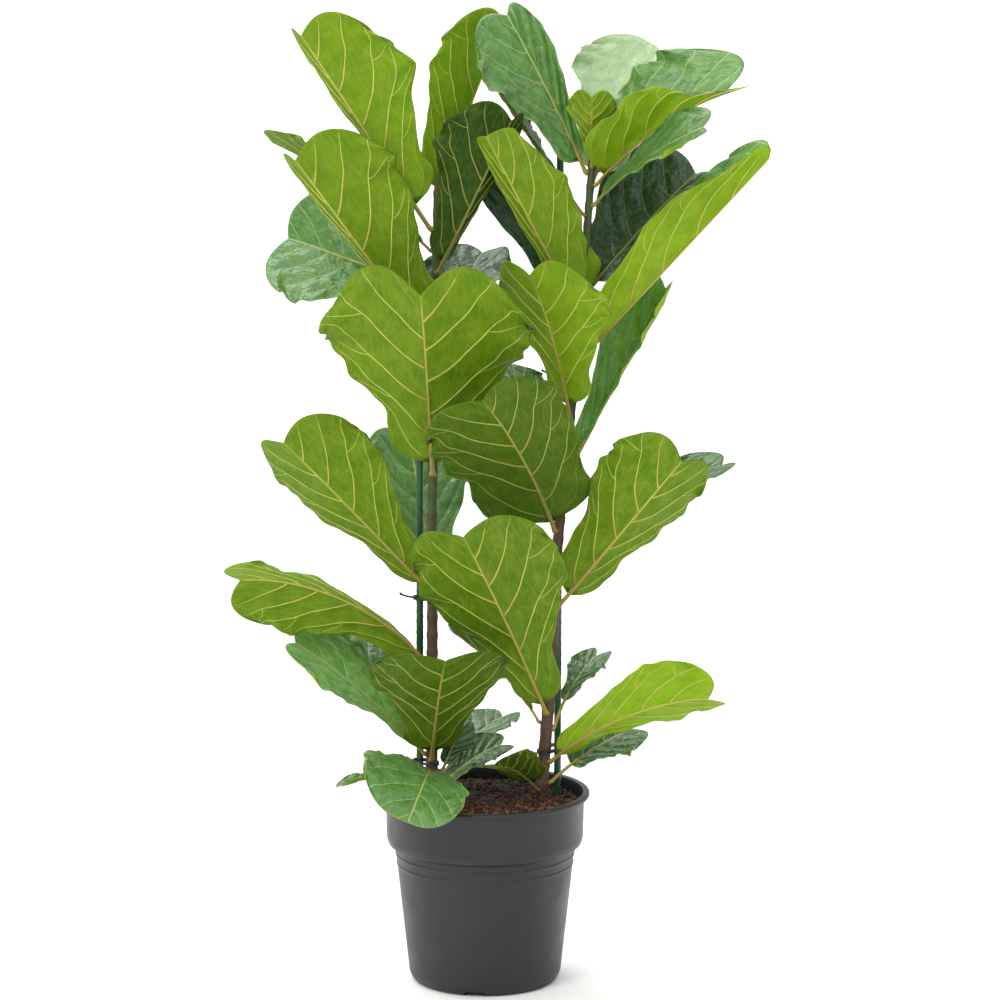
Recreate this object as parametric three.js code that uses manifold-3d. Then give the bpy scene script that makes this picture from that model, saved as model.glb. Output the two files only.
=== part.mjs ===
// A potted fiddle leaf fig, Ficus lyrata: two staked stems in a 24 cm nursery pot, about 1.1 m tall.
// Millimetres, +Z up, +X to the right and -Y to the front. The origin is the middle of the pot's
// base, on the surface that the pot stands on.
import * as THREE from "three";
import { mergeVertices } from "three/addons/utils/BufferGeometryUtils.js";
import Module from "manifold-3d";

const wasm = await Module();
wasm.setup();

// ---- Driving dimensions ----

const GAP = 0.4; // free space between pieces that touch in the real plant

const POT = {
  height: 220,
  rim: 120, // radius of the rolled lip
  lip: 6, // height of the lip
  collar: 113.5, // radius of the straight collar under the lip
  collarBottom: 160, // height of the step under the collar
  shoulder: 103, // radius of the body just under the step
  foot: 87, // radius of the body just above the rounded foot
  wall: 2,
  floor: 5, // height of the raised floor over the ground
  boss: 28, // radius of the round boss that holds up the middle of the floor
  notches: 4, // drain notches round the foot
  segments: 44,
};
const SOIL = { edge: 205, middle: 210 }; // height of the soil at the wall and in the middle
const STAKE = { radius: 4, bottom: 100 };
const TIE = { width: 2.4, thickness: 1.4, tail: 14, end: 1 };
const BLADE = { thickness: 1.2, along: 7, across: 6, narrow: 100 }; // across is even, so that a row has a midrib
const PETIOLE = { radius: 2.6, sides: 6 };

// Each stem is a list of centre points from the root collar to the bud, with its radius at both ends.
const LEFT_STEM = {
  name: "left_stem",
  points: [[-62, 2, 140], [-61, 0, 230], [-60, 0, 325], [-59, 2, 556], [-55, 4, 782], [-53, 6, 902]],
  radii: [7, 4],
};
const RIGHT_STEM = {
  name: "right_stem",
  points: [[61, 10, 140], [66, 10, 230], [72, 10, 310], [84, 8, 520], [95, 8, 634], [106, 6, 748], [120, 2, 938]],
  radii: [7.5, 4],
};
const STAKES = [
  { name: "left_stake", foot: [-75, 9], head: [-73, 11], top: 700 },
  { name: "right_stake", foot: [83, 26], head: [85, 46], top: 972 },
];
// Each tie holds a stem to a stake at a height, and its twisted ends point along an angle.
const TIES = [
  { name: "left_tie_lower", stem: LEFT_STEM, stake: 0, height: 250, tail: 200 },
  { name: "left_tie_upper", stem: LEFT_STEM, stake: 0, height: 440, tail: 190 },
  { name: "right_tie_lower", stem: RIGHT_STEM, stake: 1, height: 262, tail: 300 },
  { name: "right_tie_upper", stem: RIGHT_STEM, stake: 1, height: 690, tail: 150 },
];

// Each leaf leaves its stem at a height and at an angle round the stem (0 right, 90 back, 180 left,
// 270 front), and its midrib ends at the tip. bow and sway push the middle of the midrib towards the
// upper face and to its side, roll turns the blade about the midrib, fold lifts the two halves, cup
// curves them further towards their edges, half scales their widths, notch pushes the lobes past
// the tip, taper narrows their tip ends, waist is the width near the base as a share of the widest,
// and stalk is the bare stalk before the blade. Lengths in millimetres and angles in degrees.
const LEAF = {
  stalk: 24,
  bow: 12,
  sway: 0,
  roll: 0,
  fold: [8, 8],
  cup: 12,
  half: [1, 1],
  taper: [0, 0],
  notch: 12,
  waist: 0.42,
};
const LEFT_LEAVES = [
  { name: "left_leaf_01", at: 218, turn: 330, tip: [18, 22, 268], width: 80, roll: 20, half: [0.8, 0.7] },
  { name: "left_leaf_02", at: 226, turn: 40, tip: [20, 95, 285], width: 86, stalk: 40 },
  { name: "left_leaf_03", at: 226, turn: 200, tip: [-156, -40, 236], width: 48, roll: 10 },
  { name: "left_leaf_04", at: 236, turn: 0, tip: [-28, 8, 292], width: 48, bow: 4, roll: 80 },
  { name: "left_leaf_05", at: 240, turn: 250, tip: [-84, -160, 222], width: 134, bow: 34, roll: -20, half: [1.1, 0.8], notch: 4 },
  { name: "left_leaf_06", at: 262, turn: 195, tip: [-214, -20, 396], width: 114, stalk: 34, roll: -30 },
  { name: "left_leaf_07", at: 256, turn: 270, tip: [-43, -130, 398], width: 166 },
  { name: "left_leaf_08", at: 290, turn: 90, tip: [-180, 90, 386], width: 100, stalk: 50, roll: -10 },
  { name: "left_leaf_09", at: 366, turn: 240, tip: [-272, -80, 478], width: 118, sway: 36, roll: 90, fold: [8, 75] },
  { name: "left_leaf_10", at: 430, turn: 60, tip: [-90, 130, 612], width: 130, stalk: 50 },
  { name: "left_leaf_11", at: 452, turn: 250, tip: [-223, -60, 630], width: 144, roll: 75, fold: [45, 5] },
  { name: "left_leaf_12", at: 585, turn: 270, tip: [-69, -120, 800], width: 240, notch: 42 },
  { name: "left_leaf_13", at: 716, turn: 60, tip: [-3, 110, 826], width: 110 },
  { name: "left_leaf_14", at: 730, turn: 268, tip: [-206, -80, 944], width: 184, stalk: 30, bow: 4, roll: 75, fold: [65, 5], half: [0.3, 1], waist: 0.5 },
  { name: "left_leaf_15", at: 790, turn: 120, tip: [-226, 110, 842], width: 150, roll: -60 },
  { name: "left_leaf_16", at: 812, turn: 285, tip: [30, -44, 985], width: 140, bow: 4, roll: -75, fold: [5, 60], half: [1, 0.4] },
  { name: "left_leaf_17", at: 836, turn: 150, tip: [-240, 70, 954], width: 110, roll: 20 },
  { name: "left_leaf_18", at: 860, turn: 200, tip: [-200, -50, 1078], width: 190, stalk: 44, bow: 4, roll: 75, fold: [65, 5], half: [0.3, 1], taper: [0, 0.25], waist: 0.42 },
  { name: "left_leaf_19", at: 888, turn: 60, tip: [24, 70, 1085], width: 136, roll: -80, fold: [5, 50], half: [1.05, 0.35], waist: 0.6 },
];
const RIGHT_LEAVES = [
  { name: "right_leaf_01", at: 218, turn: 240, tip: [10, -64, 264], width: 80, roll: 20, waist: 0.7 },
  { name: "right_leaf_02", at: 226, turn: 340, tip: [170, 35, 284], width: 90, stalk: 40, roll: 30 },
  { name: "right_leaf_03", at: 251, turn: 310, tip: [250, -80, 344], width: 114, sway: -18, roll: -70, fold: [20, 40], half: [0.85, 1] },
  { name: "right_leaf_04", at: 288, turn: 330, tip: [128, 54, 366], width: 78, stalk: 44, half: [1, 0.6] },
  { name: "right_leaf_05", at: 296, turn: 180, tip: [-36, 45, 394], width: 80, roll: 30 },
  { name: "right_leaf_06", at: 308, turn: 260, tip: [-23, -135, 537], width: 178, roll: 28, half: [0.95, 1], notch: 20, waist: 0.35 },
  { name: "right_leaf_07", at: 430, turn: 285, tip: [218, -80, 612], width: 150, stalk: 34, bow: 4, roll: -80, fold: [5, 50], half: [1, 0.85], waist: 0.5 },
  { name: "right_leaf_08", at: 484, turn: 20, tip: [272, 70, 586], width: 90, roll: 10 },
  { name: "right_leaf_09", at: 519, turn: 235, tip: [-2, -135, 687], width: 172, sway: 8, roll: 32, half: [1.1, 0.85], notch: 14, waist: 0.8 },
  { name: "right_leaf_10", at: 592, turn: 330, tip: [204, 40, 792], width: 120, stalk: 34, bow: 4, roll: 60, fold: [72, 10], half: [1, 0.7] },
  { name: "right_leaf_11", at: 604, turn: 170, tip: [21, 60, 694], width: 80, stalk: 50 },
  { name: "right_leaf_12", at: 651, turn: 260, tip: [50, -70, 818], width: 150, half: [0.85, 1], notch: 20 },
  { name: "right_leaf_13", at: 715, turn: 305, tip: [312, -60, 944], width: 136, bow: 0, roll: -30, fold: [40, 68], half: [0.85, 1], taper: [0.6, 0], waist: 0.6 },
  { name: "right_leaf_14", at: 756, turn: 190, tip: [2, 60, 952], width: 120, stalk: 60, roll: -65, half: [0.75, 0.55] },
  { name: "right_leaf_15", at: 768, turn: 250, tip: [2, -80, 970], width: 124, roll: 62, fold: [50, 5], half: [0.35, 1], taper: [0, 0.4], notch: 0, waist: 0.8 },
  { name: "right_leaf_16", at: 792, turn: 10, tip: [240, 90, 918], width: 124, roll: 40, half: [0.5, 1.3], waist: 0.55 },
  { name: "right_leaf_17", at: 876, turn: 225, tip: [16, 64, 1010], width: 96, stalk: 66, bow: 0, roll: 30, half: [0.95, 0.3] },
  { name: "right_leaf_18", at: 888, turn: 320, tip: [238, -85, 980], width: 116, roll: 35, half: [0.9, 0.75] },
  { name: "right_leaf_19", at: 910, turn: 335, tip: [262, -30, 1012], width: 130, bow: 16, roll: 0, fold: [50, 56], half: [0.95, 1.25], taper: [1, 0], notch: 36, waist: 0.8 },
  { name: "right_leaf_20", at: 912, turn: 80, tip: [200, 132, 1056], width: 158, stalk: 24, roll: 20 },
  { name: "right_leaf_21", at: 924, turn: 190, tip: [25, 24, 1098], width: 130, roll: -60, half: [0.45, 1] },
  { name: "right_leaf_22", at: 930, turn: 270, tip: [118, -38, 1010], width: 58 },
];

// ---- Solids and meshes ----

// A closed three.js geometry as a manifold-3d solid.
function solid(geometry) {
  const bare = geometry.index ? geometry.toNonIndexed() : geometry.clone();
  bare.deleteAttribute("normal");
  bare.deleteAttribute("uv");
  const merged = mergeVertices(bare, 1e-3);
  return new wasm.Manifold(
    new wasm.Mesh({
      numProp: 3,
      vertProperties: merged.attributes.position.array,
      triVerts: new Uint32Array(merged.index.array),
    }),
  );
}

// A named mesh of a manifold-3d solid.
function meshOf(name, made, material) {
  const mesh = made.getMesh();
  const geometry = new THREE.BufferGeometry()
    .setAttribute("position", new THREE.BufferAttribute(mesh.vertProperties.slice(), 3))
    .setIndex(new THREE.BufferAttribute(mesh.triVerts.slice(), 1))
    .toNonIndexed();
  geometry.computeVertexNormals();
  const result = new THREE.Mesh(geometry, material);
  result.name = name;
  return result;
}

// A lathe solid about +Z from [radius, height] points that start and end on the axis.
function lathe(points, segments) {
  const profile = points.map(([radius, height]) => new THREE.Vector2(radius, height));
  return solid(new THREE.LatheGeometry(profile, segments).rotateX(Math.PI / 2));
}

// A round tube along a curve, with a regular polygon of the given radius as its section.
function tube(curve, radius, sides, steps, shrink = () => 1) {
  const section = new THREE.Shape();
  for (let k = 0; k < sides; k++) {
    const angle = (2 * Math.PI * k) / sides;
    section[k ? "lineTo" : "moveTo"](radius * Math.cos(angle), radius * Math.sin(angle));
  }
  const geometry = new THREE.ExtrudeGeometry(section, { extrudePath: curve, steps, bevelEnabled: false });
  const position = geometry.attributes.position;
  const point = new THREE.Vector3();
  const frames = curve.getSpacedPoints(steps);
  for (let i = 0; i < position.count; i++) {
    point.fromBufferAttribute(position, i);
    let nearest = 0;
    for (let k = 1; k <= steps; k++)
      if (point.distanceTo(frames[k]) < point.distanceTo(frames[nearest])) nearest = k;
    point.sub(frames[nearest]).multiplyScalar(shrink(nearest / steps)).add(frames[nearest]);
    position.setXYZ(i, point.x, point.y, point.z);
  }
  return solid(geometry);
}

const vector = (point) => new THREE.Vector3(...point);
const material = (colour, roughness) => new THREE.MeshStandardMaterial({ color: colour, roughness, metalness: 0 });

const POT_PLASTIC = material("#4b4b50", 0.55);
const SOIL_CRUMB = material("#3a2a20", 0.95);
const BARK = material("#5a4334", 0.85);
const COATED_STEEL = material("#1f5a3a", 0.4);
const TIE_WIRE = material("#2b2b2e", 0.5);
const LEAF_GREEN = material("#5f9a2c", 0.45);

// ---- Pot and soil ----

// Outer radius of the pot's plain body at a height between the foot and the step.
const bodyRadius = (z) => POT.foot + ((POT.shoulder - POT.foot) * (z - 10)) / (POT.collarBottom - 14);

function pot() {
  const { height, rim, lip, collar, collarBottom, shoulder, foot, wall, floor, boss } = POT;
  const outside = [
    [boss, 0],
    [boss, floor],
    [foot - 11, floor],
    [foot - 11, 0],
    [foot - 7, 0],
    [foot - 3, 3],
    [foot, 10],
    [bodyRadius(120), 120],
    [shoulder, collarBottom - 4],
    [collar - 3, collarBottom],
    [collar - 1, collarBottom + 7],
    [collar, height - lip],
    [rim - 1, height - lip],
    [rim, height - lip / 2],
    [rim - 1.5, height],
  ];
  const inside = [
    [collar - wall + 0.5, height],
    [collar - wall, height - lip],
    [collar - 1 - wall, collarBottom + 7],
    [shoulder - wall, collarBottom - 4],
    [bodyRadius(120) - wall, 120],
    [foot - wall, 10],
    [foot - 6, floor + wall],
  ];
  let made = lathe([[0, 0], ...outside, ...inside, [0, floor + wall]], POT.segments);
  for (let k = 0; k < POT.notches; k++) {
    const notch = new THREE.BoxGeometry(24, 40, 10).translate(0, -foot, 0);
    notch.rotateZ((2 * Math.PI * k) / POT.notches - 0.14);
    made = made.subtract(solid(notch));
  }
  return meshOf("pot", made, POT_PLASTIC);
}

function stemCurve(stem) {
  return new THREE.CatmullRomCurve3(stem.points.map(vector), false, "centripetal");
}

// A stem as a solid tapered tube; grow widens it, to cut its hole in the soil.
function stemSolid(stem, grow = 0) {
  const [low, high] = stem.radii;
  return tube(stemCurve(stem), low + grow, 10, 14, (share) => 1 + ((high - low) * share) / (low + grow));
}

// A stake as a solid rod; grow widens it and takes it lower, to cut its hole in the soil.
function stakeSolid(stake, grow = 0) {
  const axis = new THREE.LineCurve3(stakePoint(stake, STAKE.bottom - grow), stakePoint(stake, stake.top));
  return tube(axis, STAKE.radius + grow, 10, 1);
}

function soil() {
  const { wall, foot, floor, collar, shoulder, collarBottom } = POT;
  const fit = wall + GAP + 0.1;
  let made = lathe(
    [
      [0, floor + fit],
      [foot - 6 - fit, floor + fit],
      [foot - fit, 11],
      [bodyRadius(120) - fit, 120],
      [shoulder - fit, collarBottom - 4],
      [collar - 1.2 - fit, collarBottom + 7],
      [collar - 0.6 - fit, SOIL.edge],
      [collar - 40, SOIL.middle],
      [0, SOIL.middle],
    ],
    POT.segments,
  );
  for (const stem of [LEFT_STEM, RIGHT_STEM]) made = made.subtract(stemSolid(stem, GAP));
  for (const stake of STAKES) made = made.subtract(stakeSolid(stake, GAP));
  return meshOf("soil", made, SOIL_CRUMB);
}

// ---- Ties ----

// Centre of a stem at a height: the nearest of many points along its curve.
function stemPoint(stem, height) {
  const points = stemCurve(stem).getSpacedPoints(400);
  return points.reduce((best, p) => (Math.abs(p.z - height) < Math.abs(best.z - height) ? p : best));
}

function stemRadius(stem, height) {
  const { points, radii } = stem;
  const share = (height - points[0][2]) / (points.at(-1)[2] - points[0][2]);
  return radii[0] + (radii[1] - radii[0]) * share;
}

function stakePoint(stake, height) {
  const foot = new THREE.Vector3(...stake.foot, STAKE.bottom);
  const head = new THREE.Vector3(...stake.head, stake.top);
  return foot.lerp(head, (height - STAKE.bottom) / (stake.top - STAKE.bottom));
}

// The points of a belt round two circles of one radius, seen from above.
function belt(a, b, radius) {
  const along = Math.atan2(b.y - a.y, b.x - a.x);
  const steps = 7;
  const points = [];
  for (const [centre, start] of [[a, along + Math.PI / 2], [b, along - Math.PI / 2]])
    for (let k = 0; k <= steps; k++) {
      const angle = start + (Math.PI * k) / steps;
      points.push(new THREE.Vector2(centre.x + radius * Math.cos(angle), centre.y + radius * Math.sin(angle)));
    }
  return points;
}

// A tie is a flat band round the stem and the stake, with its two ends twisted into a short tail.
function tie({ name, stem, stake, height, tail }) {
  const angle = THREE.MathUtils.degToRad(tail);
  const ahead = new THREE.Vector3(Math.cos(angle), Math.sin(angle), 0);
  const middles = [stemPoint(stem, height), stakePoint(STAKES[stake], height)];
  const nearest = ahead.dot(middles[0]) > ahead.dot(middles[1]) ? middles[0] : middles[1];
  const inner = Math.max(stemRadius(stem, height), STAKE.radius) + 2 * GAP;
  const band = new THREE.Shape(belt(...middles, inner + TIE.thickness));
  band.holes.push(new THREE.Path(belt(...middles, inner)));
  const ring = new THREE.ExtrudeGeometry(band, { depth: TIE.width, bevelEnabled: false }).translate(0, 0, height);
  const ends = new THREE.CylinderGeometry(TIE.end, TIE.end, TIE.tail, 6)
    .rotateZ(-Math.PI / 2)
    .translate(inner + TIE.tail / 2 + TIE.thickness / 2, 0, 0)
    .rotateZ(angle)
    .translate(nearest.x, nearest.y, height + TIE.width / 2);
  return meshOf(name, solid(ring).add(solid(ends)), TIE_WIRE);
}

// ---- Leaves ----

const smooth = (share) => {
  const x = THREE.MathUtils.clamp(share, 0, 1);
  return x * x * (3 - 2 * x);
};

// Half width of the fiddle outline at a share of the blade's length, as a share of the widest.
function outline(u, waist) {
  const body = waist + (1 - waist) * smooth((u - 0.12) / 0.58);
  const base = 1 - 0.45 * Math.max(0, 1 - u / 0.12) ** 2;
  const tip = 1 - 0.1 * Math.max(0, (u - 0.75) / 0.25) ** 2;
  return body * base * tip;
}

// The midrib and the blade of a leaf: midrib(s) runs from the stem at 0 to the tip at 1, and
// surface(u, v) is a point of the blade, with u from its base to its tip and v from -1 to 1 across.
function leafShape(row, stem) {
  const leaf = { ...LEAF, ...row };
  const turn = THREE.MathUtils.degToRad(leaf.turn);
  const out = new THREE.Vector3(Math.cos(turn), Math.sin(turn), 0);
  const start = stemPoint(stem, leaf.at).addScaledVector(out, stemRadius(stem, leaf.at) + GAP + PETIOLE.radius * 0.7);
  const tip = vector(leaf.tip);
  const chord = tip.clone().sub(start);
  const length = chord.length();
  const ahead = chord.clone().normalize();
  const up = new THREE.Vector3(0, 0, 1).addScaledVector(ahead, -ahead.z).normalize();
  up.applyAxisAngle(ahead, THREE.MathUtils.degToRad(leaf.roll));
  const aside = up.clone().cross(ahead);
  const push = up.clone().multiplyScalar(leaf.bow).addScaledVector(aside, leaf.sway);
  const midrib = new THREE.CubicBezierCurve3(
    start,
    start.clone().addScaledVector(chord, 0.3).add(push),
    start.clone().addScaledVector(chord, 0.7).add(push),
    tip,
  );
  const bare = leaf.stalk / length;
  const surface = (u, v) => {
    const s = bare + (1 - bare) * u;
    const q = Math.abs(v);
    const side = v < 0 ? 0 : 1;
    const forward = midrib.getTangent(s);
    const across = aside.clone().addScaledVector(forward, -aside.dot(forward)).normalize();
    const normal = forward.clone().cross(across);
    const narrowing = 1 - leaf.taper[side] * smooth((u - 0.45) / 0.55);
    const halfWidth = (leaf.width / 2) * leaf.half[side] * narrowing * outline(u, leaf.waist);
    const fold = THREE.MathUtils.degToRad(leaf.fold[side]);
    const bend = THREE.MathUtils.degToRad(leaf.cup) || 1e-6;
    const sideways = (halfWidth * (Math.sin(fold + bend * q) - Math.sin(fold))) / bend;
    const lift = (halfWidth * (Math.cos(fold) - Math.cos(fold + bend * q))) / bend;
    const tipShare = Math.max(0, (u - 0.4) / 0.6) ** 2;
    const baseShare = Math.max(0, 1 - u / 0.3) ** 2;
    const round = 1 - Math.sqrt(1 - q * q);
    const shift = tipShare * (leaf.notch * Math.sin(Math.PI * q) - 0.3 * halfWidth * round * 2) - baseShare * 8 * q;
    return midrib
      .getPoint(s)
      .addScaledVector(forward, shift)
      .addScaledVector(across, sideways * Math.sign(v))
      .addScaledVector(normal, lift);
  };
  return { midrib, surface, bare };
}

// The blade as a thin closed plate: the grid of surface points moved half its thickness each way.
function bladeSolid(surface, width) {
  const { along, thickness } = BLADE;
  const across = width > BLADE.narrow ? BLADE.across : BLADE.across - 2;
  const positions = [];
  const step = 0.01;
  for (const face of [1, -1])
    for (let i = 0; i <= along; i++)
      for (let j = 0; j <= across; j++) {
        const u = i / along;
        const v = (2 * j) / across - 1;
        const lengthwise = surface(Math.min(1, u + step), v).sub(surface(Math.max(0, u - step), v));
        const crosswise = surface(u, Math.min(1, v + step)).sub(surface(u, Math.max(-1, v - step)));
        const normal = lengthwise.cross(crosswise).normalize();
        positions.push(...surface(u, v).addScaledVector(normal, (face * thickness) / 2));
      }
  const row = across + 1;
  const layer = row * (along + 1);
  const faces = [];
  const quad = (a, b, c, d) => faces.push(a, b, c, a, c, d);
  for (let i = 0; i < along; i++)
    for (let j = 0; j < across; j++) {
      const k = i * row + j;
      quad(k, k + row, k + row + 1, k + 1);
      quad(layer + k, layer + k + 1, layer + k + row + 1, layer + k + row);
    }
  for (let i = 0; i < along; i++) {
    const left = i * row;
    const right = left + across;
    quad(left, layer + left, layer + left + row, left + row);
    quad(right, right + row, layer + right + row, layer + right);
  }
  for (let j = 0; j < across; j++) {
    const last = along * row + j;
    quad(j, j + 1, layer + j + 1, layer + j);
    quad(last, layer + last, layer + last + 1, last + 1);
  }
  const geometry = new THREE.BufferGeometry()
    .setAttribute("position", new THREE.Float32BufferAttribute(positions, 3))
    .setIndex(faces);
  return solid(geometry);
}

function leafMesh(row, stem) {
  const { midrib, surface, bare } = leafShape(row, stem);
  const last = bare + 0.12;
  const stalkPoints = [0, 0.4, 0.75, 1].map((share) => midrib.getPoint(share * last));
  const stalk = tube(
    new THREE.CatmullRomCurve3(stalkPoints, false, "centripetal"),
    PETIOLE.radius,
    PETIOLE.sides,
    3,
    (share) => 1 - 0.5 * share,
  );
  return meshOf(row.name, bladeSolid(surface, row.width).add(stalk), LEAF_GREEN);
}

// ---- The plant ----

const plant = new THREE.Group();
plant.add(pot(), soil());
for (const stem of [LEFT_STEM, RIGHT_STEM]) plant.add(meshOf(stem.name, stemSolid(stem), BARK));
for (const stake of STAKES) plant.add(meshOf(stake.name, stakeSolid(stake), COATED_STEEL));
for (const row of TIES) plant.add(tie(row));
for (const row of LEFT_LEAVES) plant.add(leafMesh(row, LEFT_STEM));
for (const row of RIGHT_LEAVES) plant.add(leafMesh(row, RIGHT_STEM));

export default plant;
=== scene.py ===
import math

import bmesh
import bpy
import numpy as np
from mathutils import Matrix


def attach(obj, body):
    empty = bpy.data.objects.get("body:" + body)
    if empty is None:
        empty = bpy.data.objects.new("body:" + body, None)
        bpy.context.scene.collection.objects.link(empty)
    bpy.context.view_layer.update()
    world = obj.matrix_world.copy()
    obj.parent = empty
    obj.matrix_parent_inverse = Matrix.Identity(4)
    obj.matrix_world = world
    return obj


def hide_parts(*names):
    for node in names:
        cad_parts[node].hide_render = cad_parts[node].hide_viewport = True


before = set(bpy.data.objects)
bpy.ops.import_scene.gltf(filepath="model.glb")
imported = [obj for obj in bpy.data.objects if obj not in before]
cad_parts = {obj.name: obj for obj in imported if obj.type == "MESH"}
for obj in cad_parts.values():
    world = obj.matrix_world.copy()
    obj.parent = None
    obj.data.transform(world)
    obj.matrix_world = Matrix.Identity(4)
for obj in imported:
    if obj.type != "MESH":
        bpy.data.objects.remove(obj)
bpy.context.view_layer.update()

# A potted fiddle leaf fig, Ficus lyrata: pot, soil, two stems, two stakes, four ties and 41 leaves.
# Every length in a section is in millimetres, and becomes metres where a mesh is made.

# ---- Studio: camera, floor and light ----
# A plain pale floor under an even white sky, as in a nursery's product studio. One wide soft light
# comes from the front left, and one from high behind on the left, which shines through the thin leaves.

CAMERA_PLACE = (0.0172, -4.0, 1.2)
CAMERA_PITCH = math.radians(9.15)  # downward
CAMERA_LENS = 129.2
FLOOR_REACH = 90.0  # metres; far enough that its edge is never in view


def linear(colour):
    """An sRGB hex colour such as "6B8F2A" as linear red, green and blue, with an alpha of 1."""
    value = np.array([int(colour[i : i + 2], 16) for i in (0, 2, 4)]) / 255
    low, high = value / 12.92, ((value + 0.055) / 1.055) ** 2.4
    return (*np.where(value <= 0.04045, low, high).tolist(), 1.0)


def add_node(tree, kind, settings=None, inputs=None):
    """Adds one shader node. settings are its own options, and inputs its sockets, each given a plain
    value or the output that feeds it."""
    made = tree.nodes.new(kind)
    for option, value in (settings or {}).items():
        setattr(made, option, value)
    for name, value in (inputs or {}).items():
        socket = next(s for s in made.inputs if name in (s.identifier, s.name))
        if isinstance(value, bpy.types.NodeSocket):
            tree.links.new(value, socket)
        else:
            socket.default_value = value
    return made


def new_material(name):
    """An empty node material, and its tree."""
    material = bpy.data.materials.new(name)
    material.use_nodes = True
    material.node_tree.nodes.clear()
    return material, material.node_tree


def show(tree, shader):
    """Ends a material: the shader's output is what the surface shows."""
    add_node(tree, "ShaderNodeOutputMaterial", {}, {"Surface": shader})


camera = bpy.data.objects.new("camera", bpy.data.cameras.new("camera"))
camera.data.lens = CAMERA_LENS
camera.data.sensor_width = 36.0
camera.data.clip_end = 200.0
camera.location = CAMERA_PLACE
camera.rotation_euler = (math.pi / 2 - CAMERA_PITCH, 0.0, 0.0)
bpy.context.scene.collection.objects.link(camera)
bpy.context.scene.camera = camera
bpy.context.scene.view_settings.view_transform = "Standard"

floor_mesh = bpy.data.meshes.new("floor")
floor_mesh.from_pydata(
    [(x * FLOOR_REACH, y * FLOOR_REACH, 0.0) for x, y in ((-1, -1), (1, -1), (1, 1), (-1, 1))],
    [],
    [(0, 1, 2, 3)],
)
floor = bpy.data.objects.new("floor", floor_mesh)
bpy.context.scene.collection.objects.link(floor)
floor_paper, tree = new_material("matt_white_floor")
paper = add_node(
    tree, "ShaderNodeBsdfPrincipled", {}, {"Base Color": linear("E4E4E2"), "Roughness": 0.8}
)
show(tree, paper.outputs["BSDF"])
floor_mesh.materials.append(floor_paper)

# The sky is white, and shines three times as strongly overhead as near the horizon.
sky = bpy.data.worlds.new("studio_sky")
sky.use_nodes = True
sky.node_tree.nodes.clear()
tree = sky.node_tree
direction = add_node(tree, "ShaderNodeTexCoord")
height = add_node(tree, "ShaderNodeSeparateXYZ", {}, {"Vector": direction.outputs["Generated"]})
overhead = {"Value": height.outputs["Z"], "From Min": 0.15, "From Max": 0.85, "To Min": 0.6, "To Max": 1.8}
shine = add_node(tree, "ShaderNodeMapRange", {"interpolation_type": "SMOOTHSTEP"}, overhead)
glow = add_node(
    tree, "ShaderNodeBackground", {}, {"Color": linear("FFFFFF"), "Strength": shine.outputs["Result"]}
)
add_node(tree, "ShaderNodeOutputWorld", {}, {"Surface": glow.outputs["Background"]})
bpy.context.scene.world = sky

SOFT_LIGHTS = {  # direction that the light comes from, how wide it is in degrees, and its strength
    "front_left": ((-0.75, -0.9, 1.0), 22, 0.95),
    "behind_left": ((-0.5, 0.6, 1.15), 40, 1.5),
}
for name, (source, width, strength) in SOFT_LIGHTS.items():
    lamp = bpy.data.lights.new(name, "SUN")
    lamp.angle = math.radians(width)
    lamp.energy = strength
    stand = bpy.data.objects.new(name, lamp)
    lean = math.atan2(math.hypot(source[0], source[1]), source[2])
    stand.rotation_euler = (lean, 0.0, math.atan2(source[1], source[0]) + math.pi / 2)
    bpy.context.scene.collection.objects.link(stand)

# ---- Pot ----
# A thin nursery pot of dark grey polypropylene, injection moulded: a rolled lip, a straight collar
# and a step, two faint stacking rings under it, a tapered body, and drain slots in the foot ring.

MM = 0.001
POT_RIM = [(112.5, 167), (113.5, 214), (119, 214), (120, 217), (118.6, 220), (112.2, 220), (111.5, 214)]
POT_SHOULDER = 156  # height just under the step
POT_RINGS = (147.5, 136.5)  # heights of the stacking rings
POT_ROUNDING = 1.4
POT_SIDES = 240
DRAIN_SLOT = {"count": 4, "turn": -0.14, "half_angle": 12 / 85, "height": 4.9}


def body_radius(height):
    """Outer radius of the pot's tapered body: a straight line from the foot to the shoulder."""
    return 87 + 16 * (height - 10) / 146


def rounded(path, radius, steps=5):
    """A path with each inner corner replaced by a short parabola: it starts and ends radius away from
    the corner, or at 0.45 of a shorter side, and bends towards the corner in between."""
    path = np.array(path, float)
    corner = path[1:-1]
    back, ahead = path[:-2] - corner, path[2:] - corner
    back_length = np.linalg.norm(back, axis=1, keepdims=True)
    ahead_length = np.linalg.norm(ahead, axis=1, keepdims=True)
    start = corner + back / back_length * np.minimum(radius, 0.45 * back_length)
    end = corner + ahead / ahead_length * np.minimum(radius, 0.45 * ahead_length)
    t = np.linspace(0, 1, steps)[None, :, None]
    bend = (1 - t) ** 2 * start[:, None] + 2 * t * (1 - t) * corner[:, None] + t**2 * end[:, None]
    return np.concatenate([path[:1], bend.reshape(-1, path.shape[1]), path[-1:]])


def ring_faces(rows, columns, first=0):
    """Four-cornered faces of rows of points, each row a closed ring, numbered from first."""
    here = first + np.arange(rows * columns).reshape(rows, columns)
    after = np.roll(here, -1, axis=1)
    return np.stack([here[:-1], after[:-1], after[1:], here[1:]], -1).reshape(-1, 4)


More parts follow.
